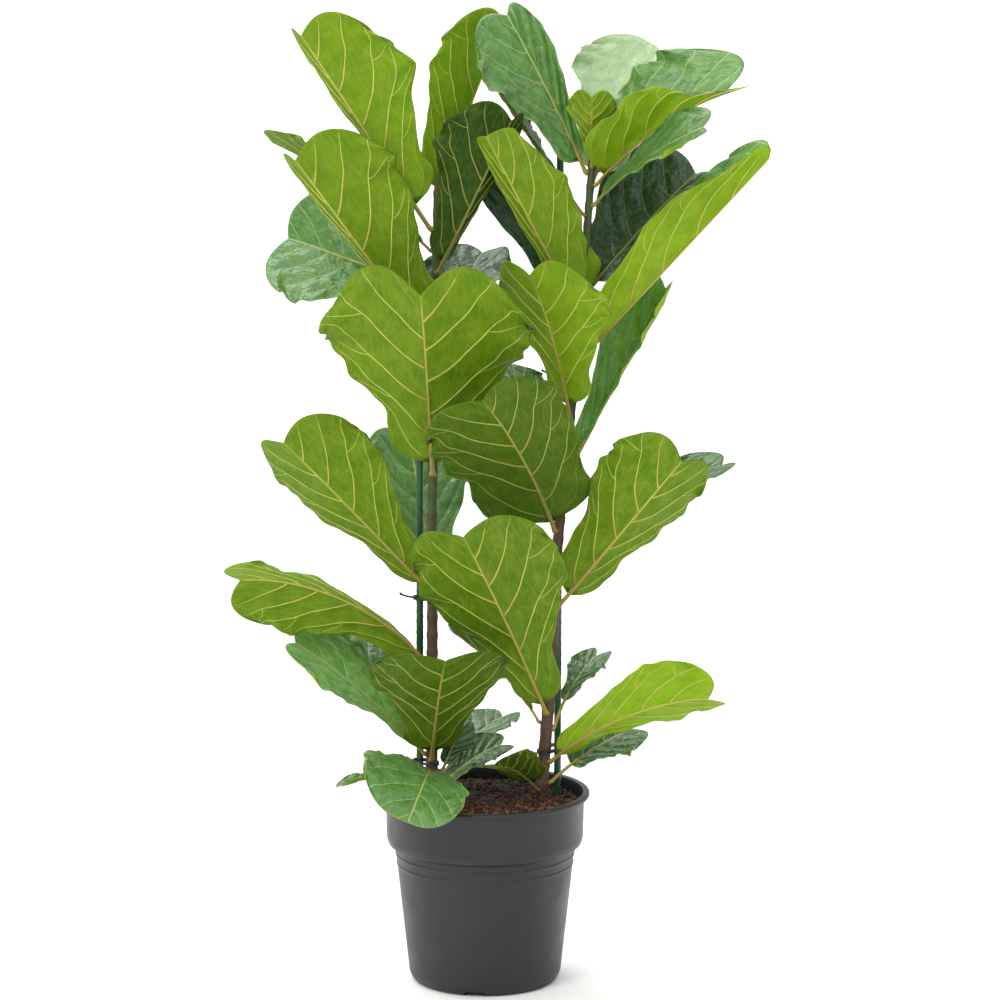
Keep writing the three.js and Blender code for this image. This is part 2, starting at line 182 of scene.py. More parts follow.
def put_mesh(name, points, faces, finishes, finish_of_face=None, spots=None):
    """Makes an object from points in millimetres and faces of three or four corners. Points that
    coincide become one, which closes seams and poles. spots holds one vector per point for each
    named attribute that a finish reads."""
    mesh = bpy.data.meshes.new(name)
    points, faces = np.asarray(points, np.float32), np.asarray(faces, np.int32)
    mesh.vertices.add(len(points))
    mesh.vertices.foreach_set("co", (points * MM).ravel())
    mesh.loops.add(faces.size)
    mesh.loops.foreach_set("vertex_index", faces.ravel())
    mesh.polygons.add(len(faces))
    mesh.polygons.foreach_set("loop_start", np.arange(0, faces.size, faces.shape[1], dtype=np.int32))
    if finish_of_face is not None:
        mesh.polygons.foreach_set("material_index", np.asarray(finish_of_face, np.int32))
    for key, values in (spots or {}).items():
        attribute = mesh.attributes.new(key, "FLOAT_VECTOR", "POINT")
        attribute.data.foreach_set("vector", np.asarray(values, np.float32).ravel())
    mesh.update(calc_edges=True)
    whole = bmesh.new()
    whole.from_mesh(mesh)
    bmesh.ops.remove_doubles(whole, verts=whole.verts, dist=2e-6)
    for face in whole.faces:
        face.smooth = True
    whole.to_mesh(mesh)
    whole.free()
    for finish in finishes:
        mesh.materials.append(finish)
    made = bpy.data.objects.new(name, mesh)
    bpy.context.scene.collection.objects.link(made)
    return made


def lathe(profile, angles):
    """Points of a surface of revolution: radius times the cosine and sine of each angle, and height."""
    radius, height = profile[:, :1], profile[:, 1:]
    return np.stack(
        [radius * np.cos(angles), radius * np.sin(angles), height + 0 * angles], -1
    )


def pot_shape():
    """The pot as one closed surface of revolution: its profile runs out along the underside, up the
    outside, over the lip and down the inside to the axis. Inside a drain slot's angles, points of the
    foot ring that lie lower than the slot are lifted to its height."""
    ring = [(0.0, 2.2), (0.75, 1.2), (0.75, -0.4), (0.0, -2.4)]
    rings = [
        (body_radius(height + rise) + out, height + rise) for height in POT_RINGS for out, rise in ring
    ]
    outside = [(0, 0), (28, 0), (28, 5), (76, 5), (76, 0), (80, 0), (84, 3), (87, 10)]
    outside += rings[::-1] + [(103, POT_SHOULDER), (110.5, 160)]
    inside = [(110.5, 167), (101, 156), (body_radius(120) - 2, 120), (85, 10), (81, 7), (0, 7)]
    profile = rounded(outside + POT_RIM + inside, POT_ROUNDING)
    slots = -math.pi / 2 + DRAIN_SLOT["turn"] + np.arange(DRAIN_SLOT["count"]) * math.pi / 2
    edges = (slots[:, None] + DRAIN_SLOT["half_angle"] * np.array([-1.01, -0.99, 0.99, 1.01])).ravel()
    full_turn = np.linspace(0, 2 * math.pi, POT_SIDES, endpoint=False)
    angles = np.sort(np.concatenate([full_turn, edges % (2 * math.pi)]))
    points = lathe(profile, angles)
    away = np.abs((angles[:, None] - slots + math.pi) % (2 * math.pi) - math.pi).min(axis=1)
    in_slot = (away < DRAIN_SLOT["half_angle"]) & (profile[:, :1] > 75)
    points[..., 2] = np.where(in_slot, np.maximum(points[..., 2], DRAIN_SLOT["height"]), points[..., 2])
    return points.reshape(-1, 3), ring_faces(len(profile), len(angles))


def mix(tree, share, first, second):
    """A colour between first and second, by share; each may be a colour or an output."""
    colours = {"Factor_Float": share, "A_Color": first, "B_Color": second}
    made = add_node(tree, "ShaderNodeMix", {"data_type": "RGBA"}, colours)
    return next(output for output in made.outputs if output.identifier == "Result_Color")


def math_node(tree, operation, *values):
    """The result of one operation on one or two numbers or outputs."""
    inputs = dict(zip(("Value", "Value_001"), values))
    return add_node(tree, "ShaderNodeMath", {"operation": operation}, inputs).outputs["Value"]


def fade(tree, value, start, end, low=1.0, high=0.0):
    """Goes smoothly from low, where value is start, to high, where it is end."""
    limits = {"Value": value, "From Min": start, "From Max": end, "To Min": low, "To Max": high}
    made = add_node(tree, "ShaderNodeMapRange", {"interpolation_type": "SMOOTHSTEP"}, limits)
    return made.outputs["Result"]


def noise(tree, place, width, detail=3.0):
    """Cloudy noise from 0 to 1, with patches of about the given width in metres."""
    made = add_node(tree, "ShaderNodeTexNoise", {}, {"Vector": place, "Scale": 1 / width, "Detail": detail})
    return made.outputs["Fac"]


def bump(tree, height, strength, depth):
    """A relief of the given depth in metres, as a normal."""
    made = add_node(tree, "ShaderNodeBump", {}, {"Strength": strength, "Distance": depth, "Height": height})
    return made.outputs["Normal"]


def matt(tree, **sockets):
    """Ends a material with one principled shader on these sockets."""
    names = {"colour": "Base Color", "roughness": "Roughness", "ior": "IOR", "normal": "Normal"}
    inputs = {names[key]: value for key, value in sockets.items()}
    shader = add_node(tree, "ShaderNodeBsdfPrincipled", {}, inputs)
    show(tree, shader.outputs["BSDF"])


def moulded_polypropylene():
    """Dark grey polypropylene from a spark-eroded mould: a soft sheen that brightens at the sides, a
    fine orange-peel grain, and a trace of dry soil dust in patches."""
    material, tree = new_material("moulded_grey_polypropylene")
    place = add_node(tree, "ShaderNodeTexCoord").outputs["Object"]
    # Dust lies in patches 40 mm across. The grain is really 0.2 mm, and is drawn at 1.2 mm to show.
    dust = noise(tree, place, 0.040, 6.0)
    colour = mix(tree, fade(tree, dust, 0.5, 0.8, 0.0, 0.35), linear("18181B"), linear("302D2A"))
    matt(
        tree,
        colour=colour,
        roughness=fade(tree, dust, 0.3, 0.7, 0.36, 0.5),
        ior=1.49,
        normal=bump(tree, noise(tree, place, 0.0012, 1.0), 0.25, 0.0001),
    )
    return material


pot = put_mesh("nursery_pot", *pot_shape(), [moulded_polypropylene()])
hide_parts("pot")
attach(pot, "root")

# ---- Soil ----
# Potting mix of black peat with loose brown coir crumbs on top, filled to 15 mm under the lip. The
# crumbs are painted redder and lighter towards the front, as painted light, and stay darker at the
# back, as painted shade; they lie thickest against the wall of the pot.

SOIL_REACH = 111.0  # radius where the soil meets the pot's wall
SOIL_EDGE, SOIL_MIDDLE = 205.0, 209.0  # its height there and in the middle
CRUMBS = {"count": 2600, "smallest": 0.8, "largest": 3.4}
FIBRES = {"count": 90, "length": 16.0, "thickness": 0.35}


def soil_height(x, y):
    """Height of the packed soil: level in the middle, sloping to the wall over its last 40 mm, with
    two crossed sets of waves for its lumps."""
    reach = np.hypot(x, y)
    slope = np.clip((reach - (SOIL_REACH - 40)) / 40, 0, 1)
    lumps = 1.1 * np.sin(x / 6.1 + 1.3 * np.sin(y / 9)) * np.sin(y / 7.3 + 2)
    lumps += 0.7 * np.sin(x / 2.7 + y / 3.9) * np.sin(y / 2.9 - x / 5)
    return SOIL_MIDDLE + (SOIL_EDGE - SOIL_MIDDLE) * slope + lumps


def soil_shape():
    """The packed soil as a closed plug: a lumpy disc, then a wall down to 170 mm and a flat underside."""
    reach = np.concatenate([np.linspace(0, SOIL_REACH, 56), [SOIL_REACH - 1.5, 0]])[:, None]
    angles = np.linspace(0, 2 * math.pi, 160, endpoint=False)[::-1]
    x, y = reach * np.cos(angles), reach * np.sin(angles)
    z = soil_height(x, y)
    z[-2:] = 170
    faces = ring_faces(*x.shape)
    return np.stack([x, y, z], -1).reshape(-1, 3), faces


def scattered_crumbs(chance):
    """Crumbs of coir as twenty-sided lumps. Each is an icosahedron, stretched and turned at random,
    half sunk in the soil; spots hold its own random tone and how red it is, a painted light that grows
    towards the front."""
    count = CRUMBS["count"]
    golden = (1 + math.sqrt(5)) / 2
    corner = np.array([(0, a, b * golden) for a in (-1, 1) for b in (-1, 1)], float)
    corner = np.concatenate([corner, np.roll(corner, 1, axis=1), np.roll(corner, 2, axis=1)])
    apart = np.linalg.norm(corner[:, None] - corner, axis=-1)
    near = np.isclose(apart, 2)
    a, b, c = np.nonzero(near[:, :, None] & near[:, None, :] & near[None, :, :])
    triple = np.stack([a, b, c], -1)
    outward = np.einsum("ij,ij->i", np.cross(corner[b] - corner[a], corner[c] - corner[a]), corner[a]) > 0
    triple = triple[outward & (a < b) & (a < c)]
    reach = SOIL_REACH * np.sqrt(chance.uniform(0, 1, count)) ** 0.8
    angle = chance.uniform(0, 2 * math.pi, count)
    x, y = 0.985 * reach * np.cos(angle), 0.985 * reach * np.sin(angle)
    size = CRUMBS["smallest"] + (CRUMBS["largest"] - CRUMBS["smallest"]) * chance.uniform(0, 1, count) ** 3
    stretch = chance.uniform(0.5, 1.3, (count, 1, 3)) * size[:, None, None] / 1.9
    turn = np.linalg.qr(chance.normal(size=(count, 3, 3)))[0]
    turn *= np.sign(np.linalg.det(turn))[:, None, None]
    lump = corner * chance.uniform(0.8, 1.15, (count, 12, 1)) * stretch
    lump = np.einsum("nij,nkj->nki", turn, lump)
    points = lump + np.stack([x, y, soil_height(x, y) + 0.25 * size], -1)[:, None]
    faces = (triple[None] + 12 * np.arange(count)[:, None, None]).reshape(-1, 3)
    # Painted light: crumbs turn redder and lighter towards the front, where light falls, and keep their
    # darker colours at the back, where shade falls.
    red = np.clip(0.25 - y / 110 + chance.normal(0, 0.22, count), 0, 1)
    shade = chance.uniform(0, 1, count)
    spots = np.repeat(np.stack([shade, red, 0 * red], -1), 12, axis=0)
    return points.reshape(-1, 3), faces, spots


def carried(path, radius, sides, up=(0.0, 0.0, 1.0)):
    """A round profile carried along a path: at each point a ring of the given radius, square to the
    path, with its first point on the side that faces up. Both ends close to a point."""
    path, radius = np.asarray(path, float), np.broadcast_to(radius, len(path))
    ahead = np.gradient(path, axis=0)
    ahead /= np.linalg.norm(ahead, axis=1, keepdims=True)
    side = np.cross(ahead, up)
    side /= np.linalg.norm(side, axis=1, keepdims=True)
    top = np.cross(side, ahead)
    angle = np.linspace(0, 2 * math.pi, sides, endpoint=False)[:, None]
    ring = np.cos(angle) * top[:, None] - np.sin(angle) * side[:, None]
    points = path[:, None] + ring * radius[:, None, None]
    ends = [np.repeat(path[i][None, None], sides, axis=1) for i in (0, -1)]
    return np.concatenate([ends[0], points, ends[1]])


def loose_fibres(chance):
    """Coir fibres: thin tubes along short arcs that lie on the soil and lift a little in the middle."""
    share = np.linspace(-1, 1, 5)
    points, faces = [], []
    for k in range(FIBRES["count"]):
        reach, angle, turn = SOIL_REACH * 0.9 * math.sqrt(chance.uniform()), *chance.uniform(0, 6.28, 2)
        half = FIBRES["length"] * chance.uniform(0.2, 0.5)
        bend = half * chance.uniform(-0.4, 0.4)
        x = reach * math.cos(angle) + half * share * math.cos(turn) - bend * share**2 * math.sin(turn)
        y = reach * math.sin(angle) + half * share * math.sin(turn) + bend * share**2 * math.cos(turn)
        z = soil_height(x, y) + 1.2 + 1.5 * (1 - share**2)
        tube = carried(np.stack([x, y, z], -1), FIBRES["thickness"], 4)
        faces.append(ring_faces(len(tube), 4, first=4 * sum(len(p) for p in points)))
        points.append(tube)
    return np.concatenate(points).reshape(-1, 3), np.concatenate(faces)


def peat():
    """Damp black peat: almost black, crumbly at 1 to 4 mm, with no shine."""
    material, tree = new_material("damp_peat")
    place = add_node(tree, "ShaderNodeTexCoord").outputs["Object"]
    grains = add_node(tree, "ShaderNodeTexVoronoi", {}, {"Vector": place, "Scale": 1 / 0.0015})
    matt(
        tree,
        colour=mix(tree, noise(tree, place, 0.004, 4.0), linear("080604"), linear("1E140C")),
        roughness=0.95,
        normal=bump(tree, grains.outputs["Distance"], 0.9, 0.001),
    )
    return material


def coir(name, dark, brown, red):
    """Dry coconut coir: each crumb has its own shade from dark to brown, and is painted redder and
    lighter where its spot says, towards the front, as painted light."""
    material, tree = new_material(name)
    spot = add_node(tree, "ShaderNodeAttribute", {"attribute_name": "crumb"})
    parts = add_node(tree, "ShaderNodeSeparateXYZ", {}, {"Vector": spot.outputs["Vector"]})
    place = add_node(tree, "ShaderNodeTexCoord").outputs["Object"]
    plain = mix(tree, parts.outputs["X"], linear(dark), linear(brown))
    matt(
        tree,
        colour=mix(tree, parts.outputs["Y"], plain, linear(red)),
        roughness=0.9,
        normal=bump(tree, noise(tree, place, 0.001, 2.0), 0.6, 0.0004),
    )
    return material


soil = put_mesh("packed_soil", *soil_shape(), [peat()])
crumb_points, crumb_faces, crumb_spots = scattered_crumbs(np.random.default_rng(11))
crumbs = put_mesh(
    "coir_crumbs",
    crumb_points,
    crumb_faces,
    [coir("coir_crumb", "0E0906", "3C2618", "84492E")],
    spots={"crumb": crumb_spots},
)
fibre_finish = coir("coir_fibre", *3 * ["7A5636"])
fibres = put_mesh("coir_fibres", *loose_fibres(np.random.default_rng(12)), [fibre_finish])
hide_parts("soil")
for piece in (soil, crumbs, fibres):
    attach(piece, "root")

# ---- Stems ----
# Two woody stems, brown and finely fissured low down and dark green where they are younger. Ring
# scars mark each joint where a leaf has stood, and a dry brown sheath covers the bud at the top.

STEMS = {
    "left": {
        "points": [(-62, 2, 140), (-61, 0, 230), (-60, 0, 325), (-59, 2, 556), (-55, 4, 782), (-53, 6, 902)],
        "radii": (7.0, 4.0),
        "joint": 23.0,  # distance between ring scars
        "woody": (330.0, 620.0),  # heights where the bark stops being brown and is green
    },
    "right": {
        "points": [
            (61, 10, 140), (66, 10, 230), (72, 10, 310), (84, 8, 520),
            (95, 8, 634), (106, 6, 748), (120, 2, 938),
        ],
        "radii": (7.5, 4.0),
        "joint": 21.0,
        "woody": (560.0, 900.0),
    },
}


def stem_centre(stem, height):
    """Centre of a stem at each height: a smooth curve whose slope at each of the stem's points is that
    of the line between its two neighbours."""
    points = np.array(stem["points"], float)
    level = points[:, 2]
    slope = np.gradient(points, level, axis=0)
    height = np.asarray(height, float)
    piece = np.clip(np.searchsorted(level, height, side="right") - 1, 0, len(level) - 2)
    span = (level[piece + 1] - level[piece])[..., None]
    t = (height - level[piece])[..., None] / span
    start = (1 + 2 * t) * (1 - t) ** 2 * points[piece] + t * (1 - t) ** 2 * span * slope[piece]
    end = t**2 * (3 - 2 * t) * points[piece + 1] + t**2 * (t - 1) * span * slope[piece + 1]
    return start + end


def stem_radius(stem, height):
    """Radius of a stem: a straight taper from its foot to its bud."""
    low, high = stem["radii"]
    bottom, top = stem["points"][0][2], stem["points"][-1][2]
    return low + (high - low) * (np.asarray(height, float) - bottom) / (top - bottom)


def stem_shape(stem, chance):
    """A tapered tube with a swelling and a fine groove at each joint, shallow lengthwise fissures, and
    a pointed bud on top whose radius falls as the square root of its distance from the tip."""
    bottom, top = stem["points"][0][2], stem["points"][-1][2]
    height = np.linspace(bottom, top, int((top - bottom) / 1.6))
    angle = np.linspace(0, 2 * math.pi, 26, endpoint=False)
    joint = (height / stem["joint"] + 0.3 * np.sin(height / 61)) % 1 - 0.5
    from_joint = joint * stem["joint"]
    swelling = 0.9 * np.exp(-((from_joint / 3.5) ** 2)) - 0.7 * np.exp(-((from_joint / 0.9) ** 2))
    wander = chance.uniform(0, 6.28, 4)
    fissure = np.sin(7 * angle + 1.4 * np.sin(height[:, None] / 31 + wander[0]) + wander[1])
    fissure += 0.6 * np.sin(11 * angle - 1.1 * np.sin(height[:, None] / 17 + wander[2]) + wander[3])
    radius = (stem_radius(stem, height) + swelling)[:, None] + 0.16 * fissure
    ring = np.stack([np.cos(angle), np.sin(angle), 0 * angle], -1)
    points = stem_centre(stem, height)[:, None] + ring * radius[..., None]
    tip = np.linspace(0, 1, 12)[:, None]
    bud_radius = stem["radii"][1] * (1.15 * np.sqrt(1 - tip) * (1 - 0.35 * tip))
    bud_radius = bud_radius + 0.2 * np.sin(5 * angle) * (1 - tip)
    lean = stem_centre(stem, top) + tip * np.array([1.5, -1.0, 22.0])
    bud = lean[:, None] + ring * bud_radius[..., None]
    foot = np.repeat(stem_centre(stem, bottom)[None, None], len(angle), axis=1)
    points = np.concatenate([foot, points, bud])
    spots = np.zeros_like(points)
    spots[1 : 1 + len(height), :, 0] = np.abs(from_joint)[:, None]
    spots[-len(tip) :, :, 1] = 1.0
    spots[..., 2] = points[..., 2]
    return points.reshape(-1, 3), ring_faces(len(points), len(angle)), spots.reshape(-1, 3)


def bark(name, woody):
    """Young fig bark: brown and finely fissured where it is woody, smooth and dark green above, with a
    brown corky ring at each joint. The bud's sheath is dry and reddish brown."""
    material, tree = new_material(name)
    spot = add_node(tree, "ShaderNodeAttribute", {"attribute_name": "joint"})
    parts = add_node(tree, "ShaderNodeSeparateXYZ", {}, {"Vector": spot.outputs["Vector"]})
    place = add_node(tree, "ShaderNodeTexCoord").outputs["Object"]
    # Fissures are 1.6 mm wide and six times as long; blotches of green and brown are 14 mm across.
    along = add_node(tree, "ShaderNodeMapping", {}, {"Vector": place, "Scale": (1.0, 1.0, 0.16)})
    fissures = noise(tree, along.outputs["Vector"], 0.0016)
    blotches = noise(tree, place, 0.014)
    height = fade(tree, parts.outputs["Z"], woody[0], woody[1], 0.0, 1.0)
    green_share = math_node(tree, "MULTIPLY", height, fade(tree, blotches, 0.35, 0.55, 0.4, 1.0))
    brown = mix(tree, fissures, linear("2A1B12"), linear("6B4C38"))
    green = mix(tree, blotches, linear("1F3A17"), linear("3F5F2A"))
    skin = mix(tree, green_share, brown, green)
    skin = mix(tree, fade(tree, parts.outputs["X"], 0.4, 1.8, 0.7, 0.0), skin, linear("4A3324"))
    skin = mix(tree, parts.outputs["Y"], skin, linear("5A3428"))
    matt(tree, colour=skin, roughness=0.62, normal=bump(tree, fissures, 0.7, 0.0006))
    return material


for seed, (side, stem) in enumerate(STEMS.items()):
    stem_points, faces, stem_spots = stem_shape(stem, np.random.default_rng(20 + seed))
    skin = bark(side + "_fig_bark", stem["woody"])
    trunk = put_mesh(side + "_woody_stem", stem_points, faces, [skin], spots={"joint": stem_spots})
    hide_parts(side + "_stem")
    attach(trunk, "root")

# ---- Stakes ----
# Each stem is tied to a thin steel tube with a dark green plastic coating, which has rows of small
# raised nubs so that the ties don't slip. Its ends are rounded.

STAKES = {
    "left": {"foot": (-75, 9), "head": (-73, 11), "top": 700},
    "right": {"foot": (83, 26), "head": (85, 46), "top": 972},
}
STAKE_BOTTOM = 100
STAKE_RADIUS = 4.0
NUB = {"height": 0.45, "rows": 6, "spacing": 12.0}


def stake_centre(stake, height):
    """Centre of a stake at each height: a straight line from its foot to its head."""
    share = (np.asarray(height, float)[..., None] - STAKE_BOTTOM) / (stake["top"] - STAKE_BOTTOM)
    foot = np.array([*stake["foot"], STAKE_BOTTOM], float)
    return foot + share * (np.array([*stake["head"], stake["top"]], float) - foot)


def stake_shape(stake):
    """A round tube with a quarter circle at each end, and nubs: the radius grows by a narrow bump
    where both a wave along the tube and a wave round it are at their peaks."""
    bottom, top = STAKE_BOTTOM, stake["top"]
    cap = STAKE_RADIUS * np.sin(np.linspace(0, math.pi / 2, 6))[:-1]
    middle = np.linspace(bottom + STAKE_RADIUS, top - STAKE_RADIUS, int((top - bottom) / 1.5))
    low_end, high_end = middle[0] - cap[::-1] - 1e-4, middle[-1] + cap + 1e-4
    height = np.concatenate([low_end, middle, high_end])
    height[0], height[-1] = bottom, top
    from_end = np.minimum(height - bottom, top - height)
    radius = np.sqrt(np.clip(STAKE_RADIUS**2 - np.clip(STAKE_RADIUS - from_end, 0, None) ** 2, 0, None))
    angle = np.linspace(0, 2 * math.pi, 24, endpoint=False)
    stagger = math.pi * np.round(angle / math.pi * 3)
    lengthwise = np.cos(2 * math.pi * height[:, None] / NUB["spacing"] + stagger)
    nubs = NUB["height"] * np.clip(lengthwise, 0, 1) ** 12 * np.clip(np.cos(NUB["rows"] * angle), 0, 1) ** 3
    radius = radius[:, None] + nubs * (from_end[:, None] > 8)
    ring = np.stack([np.cos(angle), np.sin(angle), 0 * angle], -1)
    points = stake_centre(stake, height)[:, None] + ring * radius[..., None]
    return points.reshape(-1, 3), ring_faces(len(points), len(angle))


def green_coating():
    """Polyethylene-coated steel: smooth dark green plastic with a soft gloss, a little scuffed."""
    material, tree = new_material("green_plastic_coated_steel")
    place = add_node(tree, "ShaderNodeTexCoord").outputs["Object"]
    scuffs = noise(tree, place, 0.006, 5.0)
    matt(
        tree,
        colour=mix(tree, scuffs, linear("0F3518"), linear("2C5E33")),
        roughness=fade(tree, scuffs, 0.3, 0.7, 0.28, 0.5),
        ior=1.5,
    )
    return material


coating = green_coating()
for side, stake in STAKES.items():
    rod = put_mesh(side + "_plant_stake", *stake_shape(stake), [coating])
    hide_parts(side + "_stake")
    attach(rod, "root")

# ---- Ties ----
# Each stem is held to its stake in two places by black plastic-coated wire. It goes round both
# three times, and its two ends are twisted together into a short tail.

TIES = {
    "left_tie_lower": {"side": "left", "height": 250, "tail": 200},
    "left_tie_upper": {"side": "left", "height": 440, "tail": 190},
    "right_tie_lower": {"side": "right", "height": 262, "tail": 300},
    "right_tie_upper": {"side": "right", "height": 690, "tail": 150},
}
WIRE_RADIUS = 0.75
TIE_TURNS = 3
TAIL_LENGTH = 15.0


def tie_shape(tie):
    """Three tubes. The first winds round the stem and the stake: half circles joined by straight runs,
    rising by a wire's thickness each turn. The others are the ends, two spirals about the tail's line."""
    stem, stake = STEMS[tie["side"]], STAKES[tie["side"]]
    near, far = stem_centre(stem, tie["height"]), stake_centre(stake, tie["height"])
    reach = max(float(stem_radius(stem, tie["height"])), STAKE_RADIUS) + 0.8 + WIRE_RADIUS
    along = math.atan2(far[1] - near[1], far[0] - near[0])
    bend = np.linspace(0, math.pi, 13)
    loop = np.concatenate(
        [
            centre[:2] + reach * np.stack([np.cos(start + bend), np.sin(start + bend)], -1)
            for centre, start in ((near, along + math.pi / 2), (far, along - math.pi / 2))
        ]
    )
    path = np.tile(loop, (TIE_TURNS, 1))
    climb = np.linspace(0, TIE_TURNS * 2 * WIRE_RADIUS, len(path))
    turns = np.column_stack([path, tie["height"] - WIRE_RADIUS + climb])
    tail = math.radians(tie["tail"])
    ahead = np.array([math.cos(tail), math.sin(tail), 0.12])
    aside = np.array([-math.sin(tail), math.cos(tail), 0.0])
    nearest = max((near, far), key=lambda centre: float(ahead @ centre))
    share = np.linspace(0, 1, 34)[:, None]
    spin = share * 2 * math.pi * 4
    middle = nearest + ahead * (reach + WIRE_RADIUS + share * TAIL_LENGTH) + [0, 0, 1.5]
    middle = middle + np.array([0, 0, 1.0]) * 3 * share**2
    spread = 0.8 * WIRE_RADIUS * (1 + 1.2 * np.clip(share - 0.8, 0, 1) * 5)
    round_tail = np.cos(spin) * aside + np.sin(spin) * np.array([0, 0, 1.0])
    twist = [middle + way * spread * round_tail for way in (1, -1)]
    points, faces = [], []
    for line, sides in ((turns, 8), (twist[0], 7), (twist[1], 7)):
        tube = carried(line, WIRE_RADIUS, sides, up=(0.03, 0.02, 1.0))
        faces.append(ring_faces(len(tube), sides, first=sum(p.shape[0] for p in points)))
        points.append(tube.reshape(-1, 3))
    return np.concatenate(points), np.concatenate(faces)


def black_wire():
    """PVC-coated tying wire: black, smooth and slightly glossy."""
    material, tree = new_material("black_coated_wire")
    place = add_node(tree, "ShaderNodeTexCoord").outputs["Object"]
    matt(
        tree,
        colour=mix(tree, noise(tree, place, 0.003, 2.0), linear("121214"), linear("2C2C30")),
        roughness=0.42,
        ior=1.53,
    )
    return material


wire = black_wire()
for name, tie in TIES.items():
    loop = put_mesh(name + "_wire", *tie_shape(tie), [wire])
    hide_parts(name)
    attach(loop, "root")

# ---- Leaves ----
# Leathery leaves, each a thin blade on a round stalk that runs on as the midrib under the blade. The
# upper face is dark, waxy and quilted between its veins. The under face is dull and yellow-green,
# with raised yellow veins, and light from behind shows through it.

# Each leaf leaves its stem at a height and at an angle round the stem (0 right, 90 back, 180 left,
# 270 front), and its midrib ends at the tip. bow and sway push the middle of the midrib towards the
# upper face and to its side, roll turns the blade about the midrib, fold lifts the two halves, cup
# curves them further towards their edges, half scales their widths, notch pushes the lobes past
# the tip, taper narrows their tip ends, waist is the width near the base as a share of the widest,
# stalk is the bare stalk before the blade, wave is the height of the ripples along the edge, pucker
# is the depth of the quilting, scallop is how far the edge draws in between two veins as a share of the
# half width, and the age setting runs from -1, old and dark, over 0, mature, and 1, bright, to 2, new
# and pale. It carries painted light as well as age: -1 is also painted shade on a leaf in the shadow
# of others, 1 is lightened as painted backlight shining through, and 2 is paled as a painted glare.
LEAF = {
    "stalk": 24,
    "bow": 12,
    "sway": 0,
    "roll": 0,
    "fold": (8, 8),
    "cup": 12,
    "half": (1, 1),
    "taper": (0, 0),
    "notch": 12,
    "waist": 0.42,
    "wave": 4.0,
    "pucker": 1.6,
    "young": 0.3,
    "scallop": 0.06,
}
